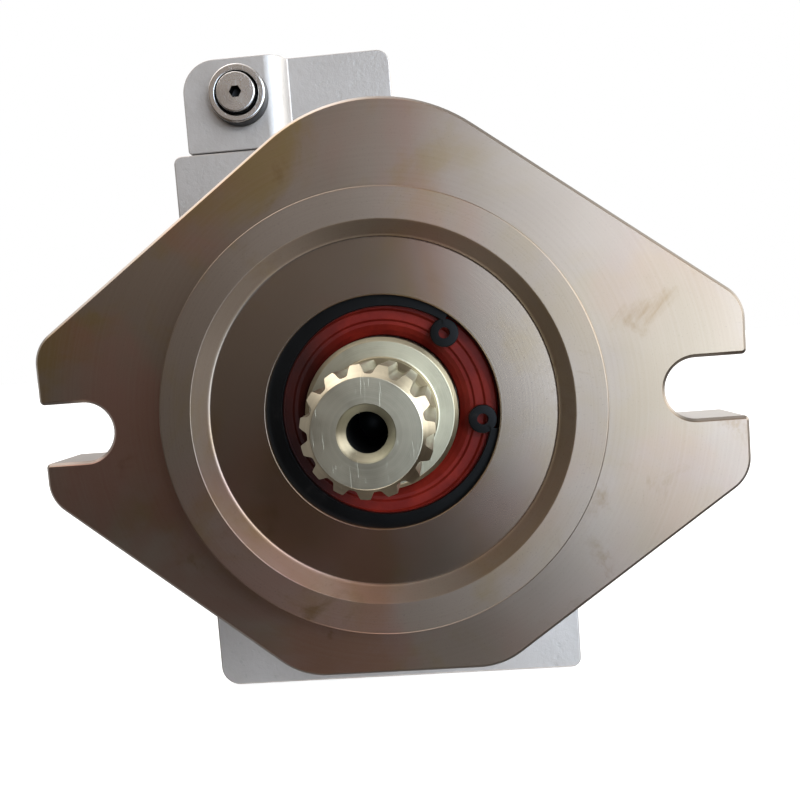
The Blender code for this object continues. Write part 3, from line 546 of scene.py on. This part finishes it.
SLOT_FINISH = {
    "machined_iron": FLANGE,
    "cast_metal": SILVER,
    "shaft_steel": INNER_STEEL,
    "dark_steel": BLACK,
    "bronze": BRONZE,
    "seal_rubber": RUBBER,
    "gasket_fibre": FIBRE,
}


def dress_inner_nodes():
    """Every CAD node takes the fine material of its slot. The ones replaced later aren't shown."""
    for row in frame["record"]["subparts"]:
        node = NODES[row["node"]]
        finish = SLOT_FINISH[row["material_slot"]]
        node.data.materials.clear()
        node.data.materials.append(finish)


# --- casing ---------------------------------------------------------------------------------------

FLANGE_BACK = 0.018
PILOT_FRONT = -0.0097
RECESS_FLOOR = -0.00583
SEAL_BORE = 0.02695
SLOT_HALF = 0.00715
SLOT_CENTRE = 0.073
NECK_BORE = 0.0450
BODY_EDGE = 0.0012


def flange_outline():
    """The two-bolt flange, its open slots drawn into the ears."""
    left, right = -0.0835, 0.0848
    round_end = [
        (SLOT_HALF * math.cos(a), SLOT_HALF * math.sin(a))
        for a in (math.radians(-90 + 180 * k / 24) for k in range(25))
    ]
    right_slot = [(SLOT_CENTRE - u, v, 0) for u, v in round_end]
    left_slot = [(-SLOT_CENTRE + u, -v, 0) for u, v in round_end]
    mouth = 0.0012
    corners = [
        (-0.025, -0.064, 0.018),
        (0.024, -0.064, 0.018),
        (right, -0.0215, 0.009),
        (right, -SLOT_HALF, mouth),
        *right_slot,
        (right, SLOT_HALF, mouth),
        (right, 0.020, 0.009),
        (0.0018, 0.0826, 0.040),
        (left, 0.0213, 0.009),
        (left, SLOT_HALF, mouth),
        *left_slot,
        (left, -SLOT_HALF, mouth),
        (left, -0.0163, 0.009),
    ]
    return filleted(corners, 3)


def make_flange():
    """The flange's plate, the pilot with its recess and seal's bore, and the neck behind."""
    hole = [ring_of(0.046)]
    flange = plate("mounting_flange", flange_outline(), 0, FLANGE_BACK, hole, chamfer=0.8 * MM)
    finish_piece(flange, FLANGE, stands_for=["housing"])
    hub = turned(
        "pilot_and_recess",
        [
            (SEAL_BORE, RECESS_FLOOR, 0.0004),
            (0.04044, RECESS_FLOOR, 0.0012),
            (0.04347, PILOT_FRONT, 0.0003),
            (0.0508, PILOT_FRONT, 0.0004),
            (0.0508, 0.010),
            (0.020, 0.010),
            (0.020, 0.0082),
            (SEAL_BORE, 0.0082),
            (SEAL_BORE, -0.0022),
            (0.0285, -0.0022),
            (0.0285, -0.0042),
            (SEAL_BORE, -0.0042),
        ],
        steps=256,
    )
    finish_piece(hub, HUB)
    neck = turned(
        "casing_neck",
        [
            (NECK_BORE, 0.0172),
            (0.0590, 0.0172),
            (0.0590, 0.0181),
            (0.0517, 0.0181, 0.006),
            (0.0517, 0.0615),
            (NECK_BORE, 0.0615),
        ],
    )
    finish_piece(neck, SILVER)


def body_outline():
    """The casing's outline, just proud of its gasket: the upper right corner is cut off."""
    lo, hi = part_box("housing_gasket")
    proud = Vector((0.6 * MM, 0, 0.6 * MM))
    lo, hi = lo - proud, hi + proud
    corners = [
        (lo.x, lo.z, 0.006),
        (hi.x, lo.z, 0.003),
        (hi.x, lo.z + 0.1478, 0.008),
        (lo.x + 0.0858, lo.z + 0.1691, 0.008),
        (lo.x, lo.z + 0.1691, 0.0025),
    ]
    return filleted(corners, 4)


def make_casing_body():
    """The casing's square body behind the neck."""
    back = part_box("housing")[1].y
    body = plate("casing_body", body_outline(), 0.060, back, [ring_of(0.047)], edge=BODY_EDGE)
    finish_piece(body, SILVER)


# The port plate's two side ports: which side, the port's radius, the spacings of its four
# tapped holes along Y and along Z, and their radius.
PORTS = (
    (-1, 0.016, 0.0357, 0.0699, 0.0055),
    (1, 0.012, 0.0262, 0.0524, 0.0048),
)
PORT_Y = 0.185
PAD_FACE = 0.076
PORT_BLOCK_BACK = 0.2134


def make_port_plate():
    """The rear block with its two side ports."""
    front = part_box("port_plate")[0].y
    hole = [ring_of(0.0235)]
    name = "port_plate_fine"
    body = plate(name, body_outline(), front, PORT_BLOCK_BACK, hole, edge=BODY_EDGE)
    low, high, top, soft = 0.1575, 0.2125, 0.048, 0.003
    corners = [(low, -top, soft), (high, -top, soft), (high, top, soft), (low, top, soft)]
    pads, tools = [], []
    for side, port, across, along, thread in PORTS:
        near, far = sorted((side * 0.0305, side * PAD_FACE))
        outline = filleted(corners, 10)
        pads.append(plate("port_pad", outline, near, far, edge=0.6 * MM, along="X"))
        mouth = side * (PAD_FACE + MM)
        start, end = (side * 0.0262, PORT_Y, 0), (mouth, PORT_Y, 0)
        tools.append(rod("port", port, start, end, MIDDLE_STEPS, mouth=MM))
        for y in (PORT_Y - across / 2, PORT_Y + across / 2):
            for z in (-along / 2, along / 2):
                start, end = (side * 0.058, y, z), (mouth, y, z)
                tools.append(rod("thread", thread, start, end, 40, mouth=0.6 * MM))
    for pad in pads:
        body = join(body, pad)
    for tool in tools:
        body = cut(body, tool)
    finish_piece(body, SILVER, stands_for=["port_plate"])
    refinish(body, MILLED, on_pad_face)


def on_pad_face(at, normal):
    return abs(normal.x) > 0.99 and abs(at.x) > PAD_FACE - 0.1 * MM


def faces_back(_, normal):
    return normal.y > 0.99


def make_rear_bosses():
    """The bosses on the port plate's back: the rear bearing's, and the stop screw's."""
    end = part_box("port_plate")[1].y
    foot = PORT_BLOCK_BACK - 0.2 * MM
    profile = [(0, 0.180), (0.030, 0.180), (0.0306, foot), (0.030, end, 0.0012), (0, end)]
    boss = turned("rear_bearing_boss", profile)
    finish_piece(boss, SILVER)
    refinish(boss, MILLED, faces_back)
    lo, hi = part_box("stroke_stop_nut")
    middle = (lo + hi) / 2
    profile = [(0.0054, 0.205), (0.0120, 0.205), (0.0115, end, 0.0008), (0.0054, end)]
    stop = turned("stop_screw_boss", profile, SMALL_STEPS, (middle.x, 0, middle.z))
    finish_piece(stop, SILVER)
    refinish(stop, MILLED, faces_back)


# --- fasteners and plugs --------------------------------------------------------------------------


def hex_tool(radius, at, along, depth, reach):
    """A six-sided cutter: depth below the point it opens at, and reach beyond it."""
    at, along = Vector(at), Vector(along).normalized()
    outline = [(0, -depth - radius * 0.3), (radius, -depth), (radius, reach), (0, reach)]
    return turned("hex_tool", outline, 6, at, along)


def knurled(name, radius, low, high, count, depth, at, along):
    """A cylinder with fine straight knurls round it."""
    outline = []
    for i in range(count):
        for share, r in ((0.0, radius - depth), (0.5, radius)):
            a = math.tau * (i + share) / count
            outline.append((r * math.cos(a), r * math.sin(a)))
    thing = plate(name, outline, low, high)
    thing.location = at
    thing.rotation_mode = "QUATERNION"
    thing.rotation_quaternion = Vector((0, 1, 0)).rotation_difference(Vector(along))
    return baked(thing)


def make_socket_screw(node, radius, along):
    """A socket head screw in the place of its CAD node, with a knurled head and a chamfered top."""
    lo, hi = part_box(node)
    along = Vector(along)
    middle = (lo + hi) / 2
    half = (hi - lo).dot(Vector(map(abs, along))) / 2
    top = middle - along * half
    large = radius > 0.006
    height = radius * (1.33 if large else 1.2)
    shank = radius * (0.6667 if large else 0.6)
    length = 2 * half
    head = turned(
        node + "_fine",
        [
            (0, 0),
            (radius * 0.86, 0, radius * 0.05),
            (radius * 0.97, height * 0.12),
            (radius * 0.97, height, radius * 0.03),
            (shank, height),
            (shank, length - shank * 0.3),
            (shank * 0.7, length),
            (0, length),
        ],
        SMALL_STEPS,
        top,
        along,
    )
    grip = knurled("grip", radius, height * 0.16, height * 0.94, 48, radius * 0.035, top, along)
    screw = join(head, grip)
    screw = cut(screw, hex_tool(radius * 0.55, top, -along, height * 0.5, MM))
    finish_piece(screw, BLACK, stands_for=[node])


def make_plug(node, outline, along, socket, depth):
    """A plug with a six-sided socket. Its outer end is at the far side of its CAD node's box."""
    lo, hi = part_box(node)
    at = Vector([hi[i] if along[i] else (lo[i] + hi[i]) / 2 for i in range(3)])
    plug = turned(node + "_fine", outline, SMALL_STEPS, at, along)
    plug = cut(plug, hex_tool(socket, at, along, depth, MM))
    finish_piece(plug, BLACK, stands_for=[node])


DRAIN_PLUG = (
    (0, -0.0093),
    (0.0086, -0.0093),
    (0.0086, -0.0042),
    (0.0114, -0.0042, 0.0003),
    (0.0114, -0.0012, 0.0004),
    (0.0104, 0, 0.0004),
    (0, 0),
)
REAR_PLUG = (
    (0, -0.0109),
    (0.0075, -0.0109),
    (0.0075, -0.0036),
    (0.0091, -0.0036, 0.0003),
    (0.0091, -0.0008, 0.0003),
    (0.0084, 0, 0.0003),
    (0, 0),
)


def threaded(name, radius, pitch, low, high, at):
    """A turned rod from low to high along Y, whose flank has one V groove per pitch."""
    depth = pitch * 0.5
    outline = [(0, low), (radius - depth, low)]
    turns = int((high - low) / pitch) - 1
    start = low + pitch * 0.5
    for i in range(turns):
        y = start + i * pitch
        outline += [(radius - depth, y), (radius, y + pitch * 0.4), (radius, y + pitch * 0.55)]
    outline += [(radius - depth, start + turns * pitch), (radius - depth, high), (0, high)]
    return turned(name, outline, SMALL_STEPS, at)


def make_stop_screw():
    """The maximum stroke's stop screw, and its nut with both its rims turned off."""
    lo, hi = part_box("stroke_stop_screw")
    at = ((lo.x + hi.x) / 2, 0, (lo.z + hi.z) / 2)
    screw = threaded("stroke_stop_screw_fine", 0.00498, 0.0014, lo.y, hi.y, at)
    screw = cut(screw, hex_tool(0.0028, (at[0], hi.y, at[2]), (0, 1, 0), 0.005, MM))
    finish_piece(screw, BLACK, stands_for=["stroke_stop_screw"])
    lo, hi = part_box("stroke_stop_nut")
    nut = plate("stroke_stop_nut_fine", ring_of(0.0098, count=6), lo.y, hi.y)
    nut.location = at
    nut = baked(nut)
    dome = turned(
        "nut_dome",
        [
            (0.0053, lo.y - MM),
            (0.0088, lo.y - MM),
            (0.0088, lo.y),
            (0.0102, lo.y + 0.0009),
            (0.0102, hi.y - 0.0009),
            (0.0085, hi.y),
            (0.0053, hi.y),
        ],
        SMALL_STEPS,
        at,
    )
    nut = combined(nut, "INTERSECT", [dome])
    finish_piece(nut, BLACK, stands_for=["stroke_stop_nut"])


# --- compensator ----------------------------------------------------------------------------------

SPRING_WIRE = 0.0008
SPRING_RADIUS = 0.0052


def shoulder_tool(lo, hi):
    """What comes off the valve block's front, right of the adjuster, down to a rounded shoulder."""
    left, back, radius = -0.0335, 0.0653, 0.007
    outline = [(hi.x + MM, back), (hi.x + MM, lo.y - MM), (left, lo.y - MM)]
    end = -math.asin(1 - (back - lo.y) / radius)
    outline += [(left + x, lo.y + radius + y) for x, y in arc(radius, -math.pi / 2, end, 24)]
    tool = plate("shoulder", outline, 0, hi.z - lo.z + 2 * MM)
    tool.rotation_euler = (-math.pi / 2, 0, 0)
    tool.location = (0, 0, hi.z + MM)
    return baked(tool)


def make_valve_block(at):
    """The compensator's block, with its bore on the axis along Y through this place."""
    lo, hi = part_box("control_valve_block")
    outline = [
        (lo.x, lo.z, 0.001),
        (hi.x, lo.z, 0.001),
        (hi.x, hi.z, 0.004),
        (lo.x, hi.z, 0.010),
    ]
    block = plate("control_valve_block_fine", filleted(outline, 5), lo.y, hi.y)
    block = rounded(cut(block, shoulder_tool(lo, hi)), 1.2 * MM)
    mouth, seat_bore, spool_bore = 0.0079, 0.0070, 0.0053
    profile = [
        (0, lo.y - MM),
        (0.0089 + MM, lo.y - MM),
        (mouth, lo.y + MM),
        (mouth, 0.0723),
        (seat_bore, 0.0723),
        (seat_bore, 0.1060),
        (spool_bore, 0.1060),
        (spool_bore, 0.1180),
        (mouth, 0.1180),
        (mouth, hi.y + MM),
        (0, hi.y + MM),
    ]
    tools = [turned("bore", profile, MIDDLE_STEPS, at)]
    for i in range(1, 5):
        bolt_lo, bolt_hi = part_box(f"valve_bolt_{i}")
        x, y, _ = (bolt_lo + bolt_hi) / 2
        low, high = (x, y, hi.z - 6.5 * MM), (x, y, hi.z + MM)
        tools.append(rod("sink", 0.0056, low, high, 48, mouth=0.5 * MM))
    block = cut(block, *tools)
    finish_piece(block, SILVER, stands_for=["control_valve_block"])


def make_adjuster(at):
    """The pressure adjusting screw, the ring round its head, and the sleeve that it turns in."""

    def from_axis(here):
        return math.hypot(here.x - at[0], here.z - at[2])

    lo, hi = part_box("pressure_adjusting_screw")
    head, stem, head_back = 0.0059, 0.00395, 0.0600
    profile = [
        (0, lo.y),
        (head, lo.y, 0.0004),
        (head, head_back),
        (stem, head_back),
        (stem, hi.y),
        (0, hi.y),
    ]
    screw = turned("pressure_adjusting_screw_fine", profile, MIDDLE_STEPS, at)
    screw = cut(screw, hex_tool(0.0019, (at[0], lo.y, at[2]), (0, -1, 0), 0.0035, MM))
    stands_for = ["pressure_adjusting_screw"]
    finish_piece(screw, BRIGHT_STEEL, "adjusting_screw", stands_for)
    # Painted shade: the socket's inside is made black.
    mouth = lo.y + 0.2 * MM
    refinish(screw, BLACK, lambda here, _: from_axis(here) < 0.002 and here.y > mouth)

    lo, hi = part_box("adjuster_lock_ring")
    inner, outer = 0.0067, 0.0088
    profile = [
        (inner, lo.y, 0.0003),
        (outer, lo.y, 0.0007),
        (outer, hi.y, 0.0002),
        (inner, hi.y),
    ]
    ring = turned("adjuster_lock_ring_fine", profile, MIDDLE_STEPS, at)
    finish_piece(ring, BRIGHT_STEEL, stands_for=["adjuster_lock_ring"])
    # Painted shade: the ring's outer flank is made black, for the shade under the ring where it
    # stands proud of the block.
    side = outer - 0.3 * MM
    refinish(ring, BLACK, lambda here, normal: abs(normal.y) < 0.5 and from_axis(here) > side)

    lo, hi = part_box("adjuster_sleeve")
    inner, outer = 0.0043, 0.0076
    profile = [(inner, lo.y), (outer, lo.y, 0.0003), (outer, hi.y), (inner, hi.y)]
    sleeve = turned("adjuster_sleeve_fine", profile, MIDDLE_STEPS, at)
    finish_piece(sleeve, BLACK, stands_for=["adjuster_sleeve"])


def make_compensator():
    """The block and the adjuster, both on the adjusting screw's axis."""
    lo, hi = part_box("pressure_adjusting_screw")
    axis = (lo + hi) / 2
    at = (axis.x, 0, axis.z)
    make_valve_block(at)
    make_adjuster(at)


def coil(name, radius, wire, low, high, turns, at, first_turn=0.0):
    """A round wire wound along Y from low to high, starting this many turns round."""
    steps, sides = round(turns * 40), 14
    climb = (high - low) / (math.tau * turns)
    shape = bmesh.new()
    loops = []
    for i in range(steps + 1):
        angle = math.tau * (first_turn + turns * i / steps)
        out = Vector((math.cos(angle), 0, math.sin(angle)))
        forward = Vector((-radius * out.z, climb, radius * out.x)).normalized()
        side = forward.cross(out)
        middle = Vector(at) + out * radius + Vector((0, low + (high - low) * i / steps, 0))
        points = arc(wire, 0, math.tau, sides)[:-1]
        loops.append([shape.verts.new(middle + out * u + side * v) for u, v in points])
    for before, after in zip(loops, loops[1:]):
        for k in range(sides):
            shape.faces.new((before[k], before[k - 1], after[k - 1], after[k]))
    shape.faces.new(loops[0])
    shape.faces.new(reversed(loops[-1]))
    bmesh.ops.recalc_face_normals(shape, faces=shape.faces)
    mesh = bpy.data.meshes.new(name)
    shape.to_mesh(mesh)
    shape.free()
    return loose(name, mesh)


def make_compensator_spring():
    """The spring in two halves that meet where it stands still.
    """
    lo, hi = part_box("compensator_spring")
    seat, spool = lo.y + SPRING_WIRE, hi.y - SPRING_WIRE
    still = (seat + spool) / 2
    at = ((lo.x + hi.x) / 2, 0, (lo.z + hi.z) / 2)
    turns = 2.5
    name = "compensator_spring_front"
    front = coil(name, SPRING_RADIUS, SPRING_WIRE, seat, still, turns, at)
    finish_piece(front, INNER_STEEL, None, ["compensator_spring"])
    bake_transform(front)
    name = "compensator_spring_rear"
    rear = coil(name, SPRING_RADIUS, SPRING_WIRE, still, spool, turns, at, turns)
    finish_piece(rear, INNER_STEEL, None)
    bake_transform(rear)


# --- shaft, seal and circlip ----------------------------------------------------------------------

TEETH = 15
TOOTH_TIP, TOOTH_ROOT = 0.01249, 0.01075
TEETH_BACK = -0.0110


def spline_outline():
    """Fifteen teeth with rounded roots and slightly curved flanks."""
    pitch = math.tau / TEETH
    half = (
        (-0.50, TOOTH_ROOT),
        (-0.40, TOOTH_ROOT + 0.00003),
        (-0.335, TOOTH_ROOT + 0.00018),
        (-0.295, TOOTH_ROOT + 0.00050),
        (-0.262, TOOTH_ROOT + 0.00090),
        (-0.225, TOOTH_ROOT + 0.00130),
        (-0.185, TOOTH_TIP - 0.00008),
        (-0.165, TOOTH_TIP),
        (-0.08, TOOTH_TIP),
    )
    shape = half + tuple((-share, radius) for share, radius in reversed(half[1:]))
    return [
        (r * math.cos((i + share) * pitch), r * math.sin((i + share) * pitch))
        for i in range(TEETH)
        for share, r in shape
    ]


def make_shaft():
    """The shaft with its collar, and its splined end with the tapped centre hole."""
    lo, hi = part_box("drive_shaft")
    end = lo.y
    shaft = turned(
        "drive_shaft_fine",
        [
            (0, end + 0.030),
            (0.0104, end + 0.030),
            (0.0107, TEETH_BACK - 0.0035),
            (0.0112, TEETH_BACK - 0.0020),
            (0.0126, TEETH_BACK - 0.0002, 0.0008),
            (0.0127, -0.0090, 0.0006),
            (0.0165, -0.0090, 0.0002),
            (0.0175, -0.0080, 0.0003),
            (0.0175, 0.0319),
            (0.0200, 0.0319),
            (0.0200, 0.0360),
            (0.0145, 0.0360),
            (0.0145, 0.1180),
            (0.0125, 0.1195),
            (0.0125, hi.y),
            (0, hi.y),
        ],
    )
    finish_piece(shaft, SHAFT_STEEL, ROTOR, ["drive_shaft"])
    teeth = plate("shaft_spline", spline_outline(), end, TEETH_BACK)
    envelope = turned(
        "envelope",
        [
            (0, end),
            (0.0102, end, 0.0002),
            (0.0128, end + 0.0026),
            (0.0128, TEETH_BACK - 0.0028),
            (0.0109, TEETH_BACK - 0.0002),
            (0, TEETH_BACK - 0.0002),
        ],
    )
    teeth = combined(teeth, "INTERSECT", [envelope])
    pitch, grooves, crest, root = 0.00125, 16, 0.00385, 0.0044
    hole = [(0, end - MM), (0.0062, end - MM), (0.0050, end + 0.0006), (crest, end + 0.0018)]
    for i in range(grooves):
        y = end + 0.0020 + i * pitch
        hole += [(crest, y), (root, y + pitch * 0.45)]
        hole += [(root, y + pitch * 0.55), (crest, y + pitch * 0.98)]
    hole += [(crest, end + 0.0250), (0, end + 0.0272)]
    teeth = cut(teeth, turned("centre_hole", hole, MIDDLE_STEPS))
    finish_piece(teeth, TOOTH_STEEL, ROTOR)
    # Painted shade: the tapped centre hole's inside is made black.
    mouth = end + 1.9 * MM
    refinish(teeth, BLACK, lambda here, _: here.xz.length < root and here.y > mouth)


def make_seal():
    """The shaft seal, with its dust lip and its sprung lip."""
    lo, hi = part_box("shaft_seal")
    outer = SEAL_BORE - 0.00012
    seal = turned(
        "shaft_seal_fine",
        [
            (outer, -0.0014, 0.0003),
            (outer - 0.0005, lo.y, 0.0002),
            (0.0240, lo.y, 0.0003),
            (0.0236, -0.0012, 0.0003),
            (0.0216, -0.0012, 0.0003),
            (0.0212, -0.0006, 0.0002),
            (0.0204, -0.0006, 0.0002),
            (0.0192, 0.0002, 0.0003),
            (0.0181, 0.0012, 0.0002),
            (0.0178, 0.0020, 0.0001),
            (0.0188, 0.0032, 0.0002),
            (0.0208, 0.0032, 0.0004),
            (0.0222, 0.0050, 0.0004),
            (0.0222, hi.y),
            (outer, hi.y),
        ],
        192,
    )
    finish_piece(seal, RUBBER, stands_for=["shaft_seal"])


def make_circlip():
    """The retaining ring, deeper opposite its gap, with two pierced lugs."""
    lo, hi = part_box("seal_circlip")
    first, last = math.radians(52), math.radians(348)
    outer, inner, deepening = 0.0282, 0.0252, 0.0018
    count = 120
    inside = []
    for i in range(count + 1):
        share = i / count
        angle = last + (first - last) * share
        radius = inner - deepening * math.sin(math.pi * share)
        inside.append((radius * math.cos(angle), radius * math.sin(angle)))
    outline = arc(outer, first, last, count) + inside
    ring = plate("seal_circlip_fine", outline, lo.y, hi.y, edge=0.2 * MM)
    lug_place, lug, soft, inset = 0.0232, 0.0033, 0.2 * MM, 0.02 * MM
    low, high = lo.y + inset, hi.y - inset
    profile = [(0, low), (lug, low, soft), (lug, high, soft), (0, high)]
    for angle in (math.radians(48), math.radians(352)):
        x, z = lug_place * math.cos(angle), lug_place * math.sin(angle)
        ring = join(ring, turned("lug", profile, SMALL_STEPS, (x, 0, z)))
        ring = cut(ring, rod("lug_hole", 0.0013, (x, lo.y - MM, z), (x, hi.y + MM, z), 40))
    finish_piece(ring, BLACK, stands_for=["seal_circlip"])


# --- light, floor and camera ----------------------------------------------------------------------


def make_camera():
    """The photograph's camera. It looks along Y before its turns."""
    turn = Matrix.Identity(3)
    for axis, degrees in CAMERA_TURNS:
        turn = turn @ Matrix.Rotation(math.radians(degrees), 3, axis)
    right, ahead, up = (turn @ Vector(v) for v in ((1, 0, 0), (0, 1, 0), (0, 0, 1)))
    basis = Matrix((right, up, -ahead)).transposed().to_4x4()
    data = bpy.data.cameras.new("camera")
    data.lens = CAMERA_LENS
    data.sensor_width = 36
    data.clip_start = 0.005
    camera = loose("camera", data)
    camera.matrix_world = Matrix.Translation(CAMERA_PLACE) @ basis
    bpy.context.scene.camera = camera


# Each glow of the studio that surfaces see: the direction it lies in, the cosines of the angles
# from there where it starts and is full, its strength and its tint.
STUDIO = (
    # The bright bank right of straight ahead, and a wide dim glow above it.
    ((0.50, -0.86, 0.08), (0.845, 0.965), 4.7, (0.82, 1.0, 1.22)),
    ((-0.20, -0.60, 0.78), (0.45, 1.00), 0.42, (1.0, 0.86, 0.74)),
    # The lit table, low in front.
    ((0.0, -0.50, -0.87), (0.88, 1.00), 3.2, (1.0, 0.97, 0.94)),
    # The half behind the object.
    ((-0.20, 0.90, 0.30), (-0.20, 0.90), 0.75, (1.0, 1.0, 1.0)),
    # Upper left, on the flange's chamfer.
    ((-0.50, 0.30, 0.81), (0.86, 0.985), 2.7, (1.0, 0.93, 0.88)),
    # Far right: the lower one is on the teeth and on the recess's left wall.
    ((0.90, 0.20, 0.36), (0.78, 0.98), 1.3, (1.0, 1.0, 0.95)),
    ((0.97, -0.05, 0.20), (0.89, 0.985), 2.2, (1.0, 1.0, 0.98)),
)
STUDIO_DARK = (0.055, 0.036, 0.023)


def make_world():
    """White to the camera. To surfaces, a dim brown studio with a bright side on the right."""
    world = bpy.data.worlds.new("studio")
    world.use_nodes = True
    tree = world.node_tree
    tree.nodes.clear()

    def add(kind, **settings):
        made = tree.nodes.new(kind)
        for name, value in settings.items():
            setattr(made, name, value)
        return made

    where = add("ShaderNodeTexCoord").outputs["Generated"]
    total = add("ShaderNodeRGB").outputs[0]
    total.default_value = (*STUDIO_DARK, 1)
    for direction, (start, full), strength, tint in STUDIO:
        facing_it = add("ShaderNodeVectorMath", operation="DOT_PRODUCT")
        tree.links.new(where, facing_it.inputs[0])
        facing_it.inputs[1].default_value = Vector(direction).normalized()
        share = add("ShaderNodeMapRange", interpolation_type="SMOOTHSTEP")
        tree.links.new(facing_it.outputs["Value"], share.inputs["Value"])
        share.inputs["From Min"].default_value = start
        share.inputs["From Max"].default_value = full
        glow = add("ShaderNodeVectorMath", operation="SCALE")
        glow.inputs[0].default_value = [strength * channel for channel in tint]
        tree.links.new(share.outputs["Result"], glow.inputs["Scale"])
        summed = add("ShaderNodeVectorMath", operation="ADD")
        tree.links.new(total, summed.inputs[0])
        tree.links.new(glow.outputs[0], summed.inputs[1])
        total = summed.outputs[0]
    lit = add("ShaderNodeBackground")
    tree.links.new(total, lit.inputs["Color"])
    seen = add("ShaderNodeBackground")
    seen.inputs["Color"].default_value = (1, 1, 1, 1)
    pick = add("ShaderNodeMixShader")
    tree.links.new(add("ShaderNodeLightPath").outputs["Is Camera Ray"], pick.inputs[0])
    tree.links.new(lit.outputs[0], pick.inputs[1])
    tree.links.new(seen.outputs[0], pick.inputs[2])
    tree.links.new(pick.outputs[0], add("ShaderNodeOutputWorld").inputs[0])
    bpy.context.scene.world = world
    bpy.context.scene.view_settings.view_transform = "Standard"


def make_floor():
    """A pale floor that surfaces neither reflect nor take light from."""
    mesh = bpy.data.meshes.new("floor")
    shape = bmesh.new()
    bmesh.ops.create_grid(shape, x_segments=1, y_segments=1, size=6)
    shape.to_mesh(mesh)
    shape.free()
    floor = loose("floor", mesh)
    floor.location.z = BOX_AT_LOAD[0][2] - 0.0005
    pale = bpy.data.materials.new("pale_floor")
    pale.use_nodes = True
    shader = pale.node_tree.nodes["Principled BSDF"]
    shader.inputs["Base Color"].default_value = (0.5, 0.5, 0.5, 1)
    shader.inputs["Roughness"].default_value = 0.9
    shader.inputs["Emission Color"].default_value = (1, 1, 1, 1)
    shader.inputs["Emission Strength"].default_value = 0.8
    floor.data.materials.append(pale)
    floor.visible_glossy = False
    floor.visible_diffuse = False


def area_light(name, place, target, size, power, colour=(1, 1, 1), in_gloss=True):
    """A rectangular light at one place, aimed at another."""
    data = bpy.data.lights.new(name, "AREA")
    data.shape = "RECTANGLE"
    data.size, data.size_y = size
    data.energy = power
    data.color = colour
    light = loose(name, data)
    light.location = place
    light.rotation_euler = (Vector(target) - Vector(place)).to_track_quat("-Z", "Y").to_euler()
    light.visible_glossy = in_gloss


def make_lights():
    aim = (0, 0, 0)
    cool, warm = (0.92, 0.97, 1.0), (1.0, 0.97, 0.94)
    area_light("right_bank", (0.80, -0.55, 0.35), aim, (0.5, 0.9), 8, cool)
    area_light("top_bank", (-0.10, -0.10, 1.1), aim, (1.2, 1.0), 3)
    area_light("key", (0.42, -0.95, 0.42), aim, (0.14, 0.14), 4.5, warm, False)
    area_light("low_fill", (0.30, -1.0, -0.02), aim, (0.5, 0.1), 1.8, warm, False)
    area_light("back_fill", (0.3, 1.3, 0.8), (0, 0.1, 0), (1.4, 1.0), 8)


make_camera()
make_world()
make_floor()
make_lights()
dress_inner_nodes()
make_flange()
make_casing_body()
make_port_plate()
make_rear_bosses()
for number in range(1, 5):
    make_socket_screw(f"housing_bolt_{number}", 0.009, (0, -1, 0))
    make_socket_screw(f"valve_bolt_{number}", 0.005, (0, 0, -1))
make_plug("case_drain_plug", DRAIN_PLUG, (1, 0, 0), 0.0046, 0.004)
make_plug("valve_rear_plug", REAR_PLUG, (0, 1, 0), 0.0034, 0.0045)
make_stop_screw()
make_compensator()
make_compensator_spring()
make_shaft()
make_seal()
make_circlip()
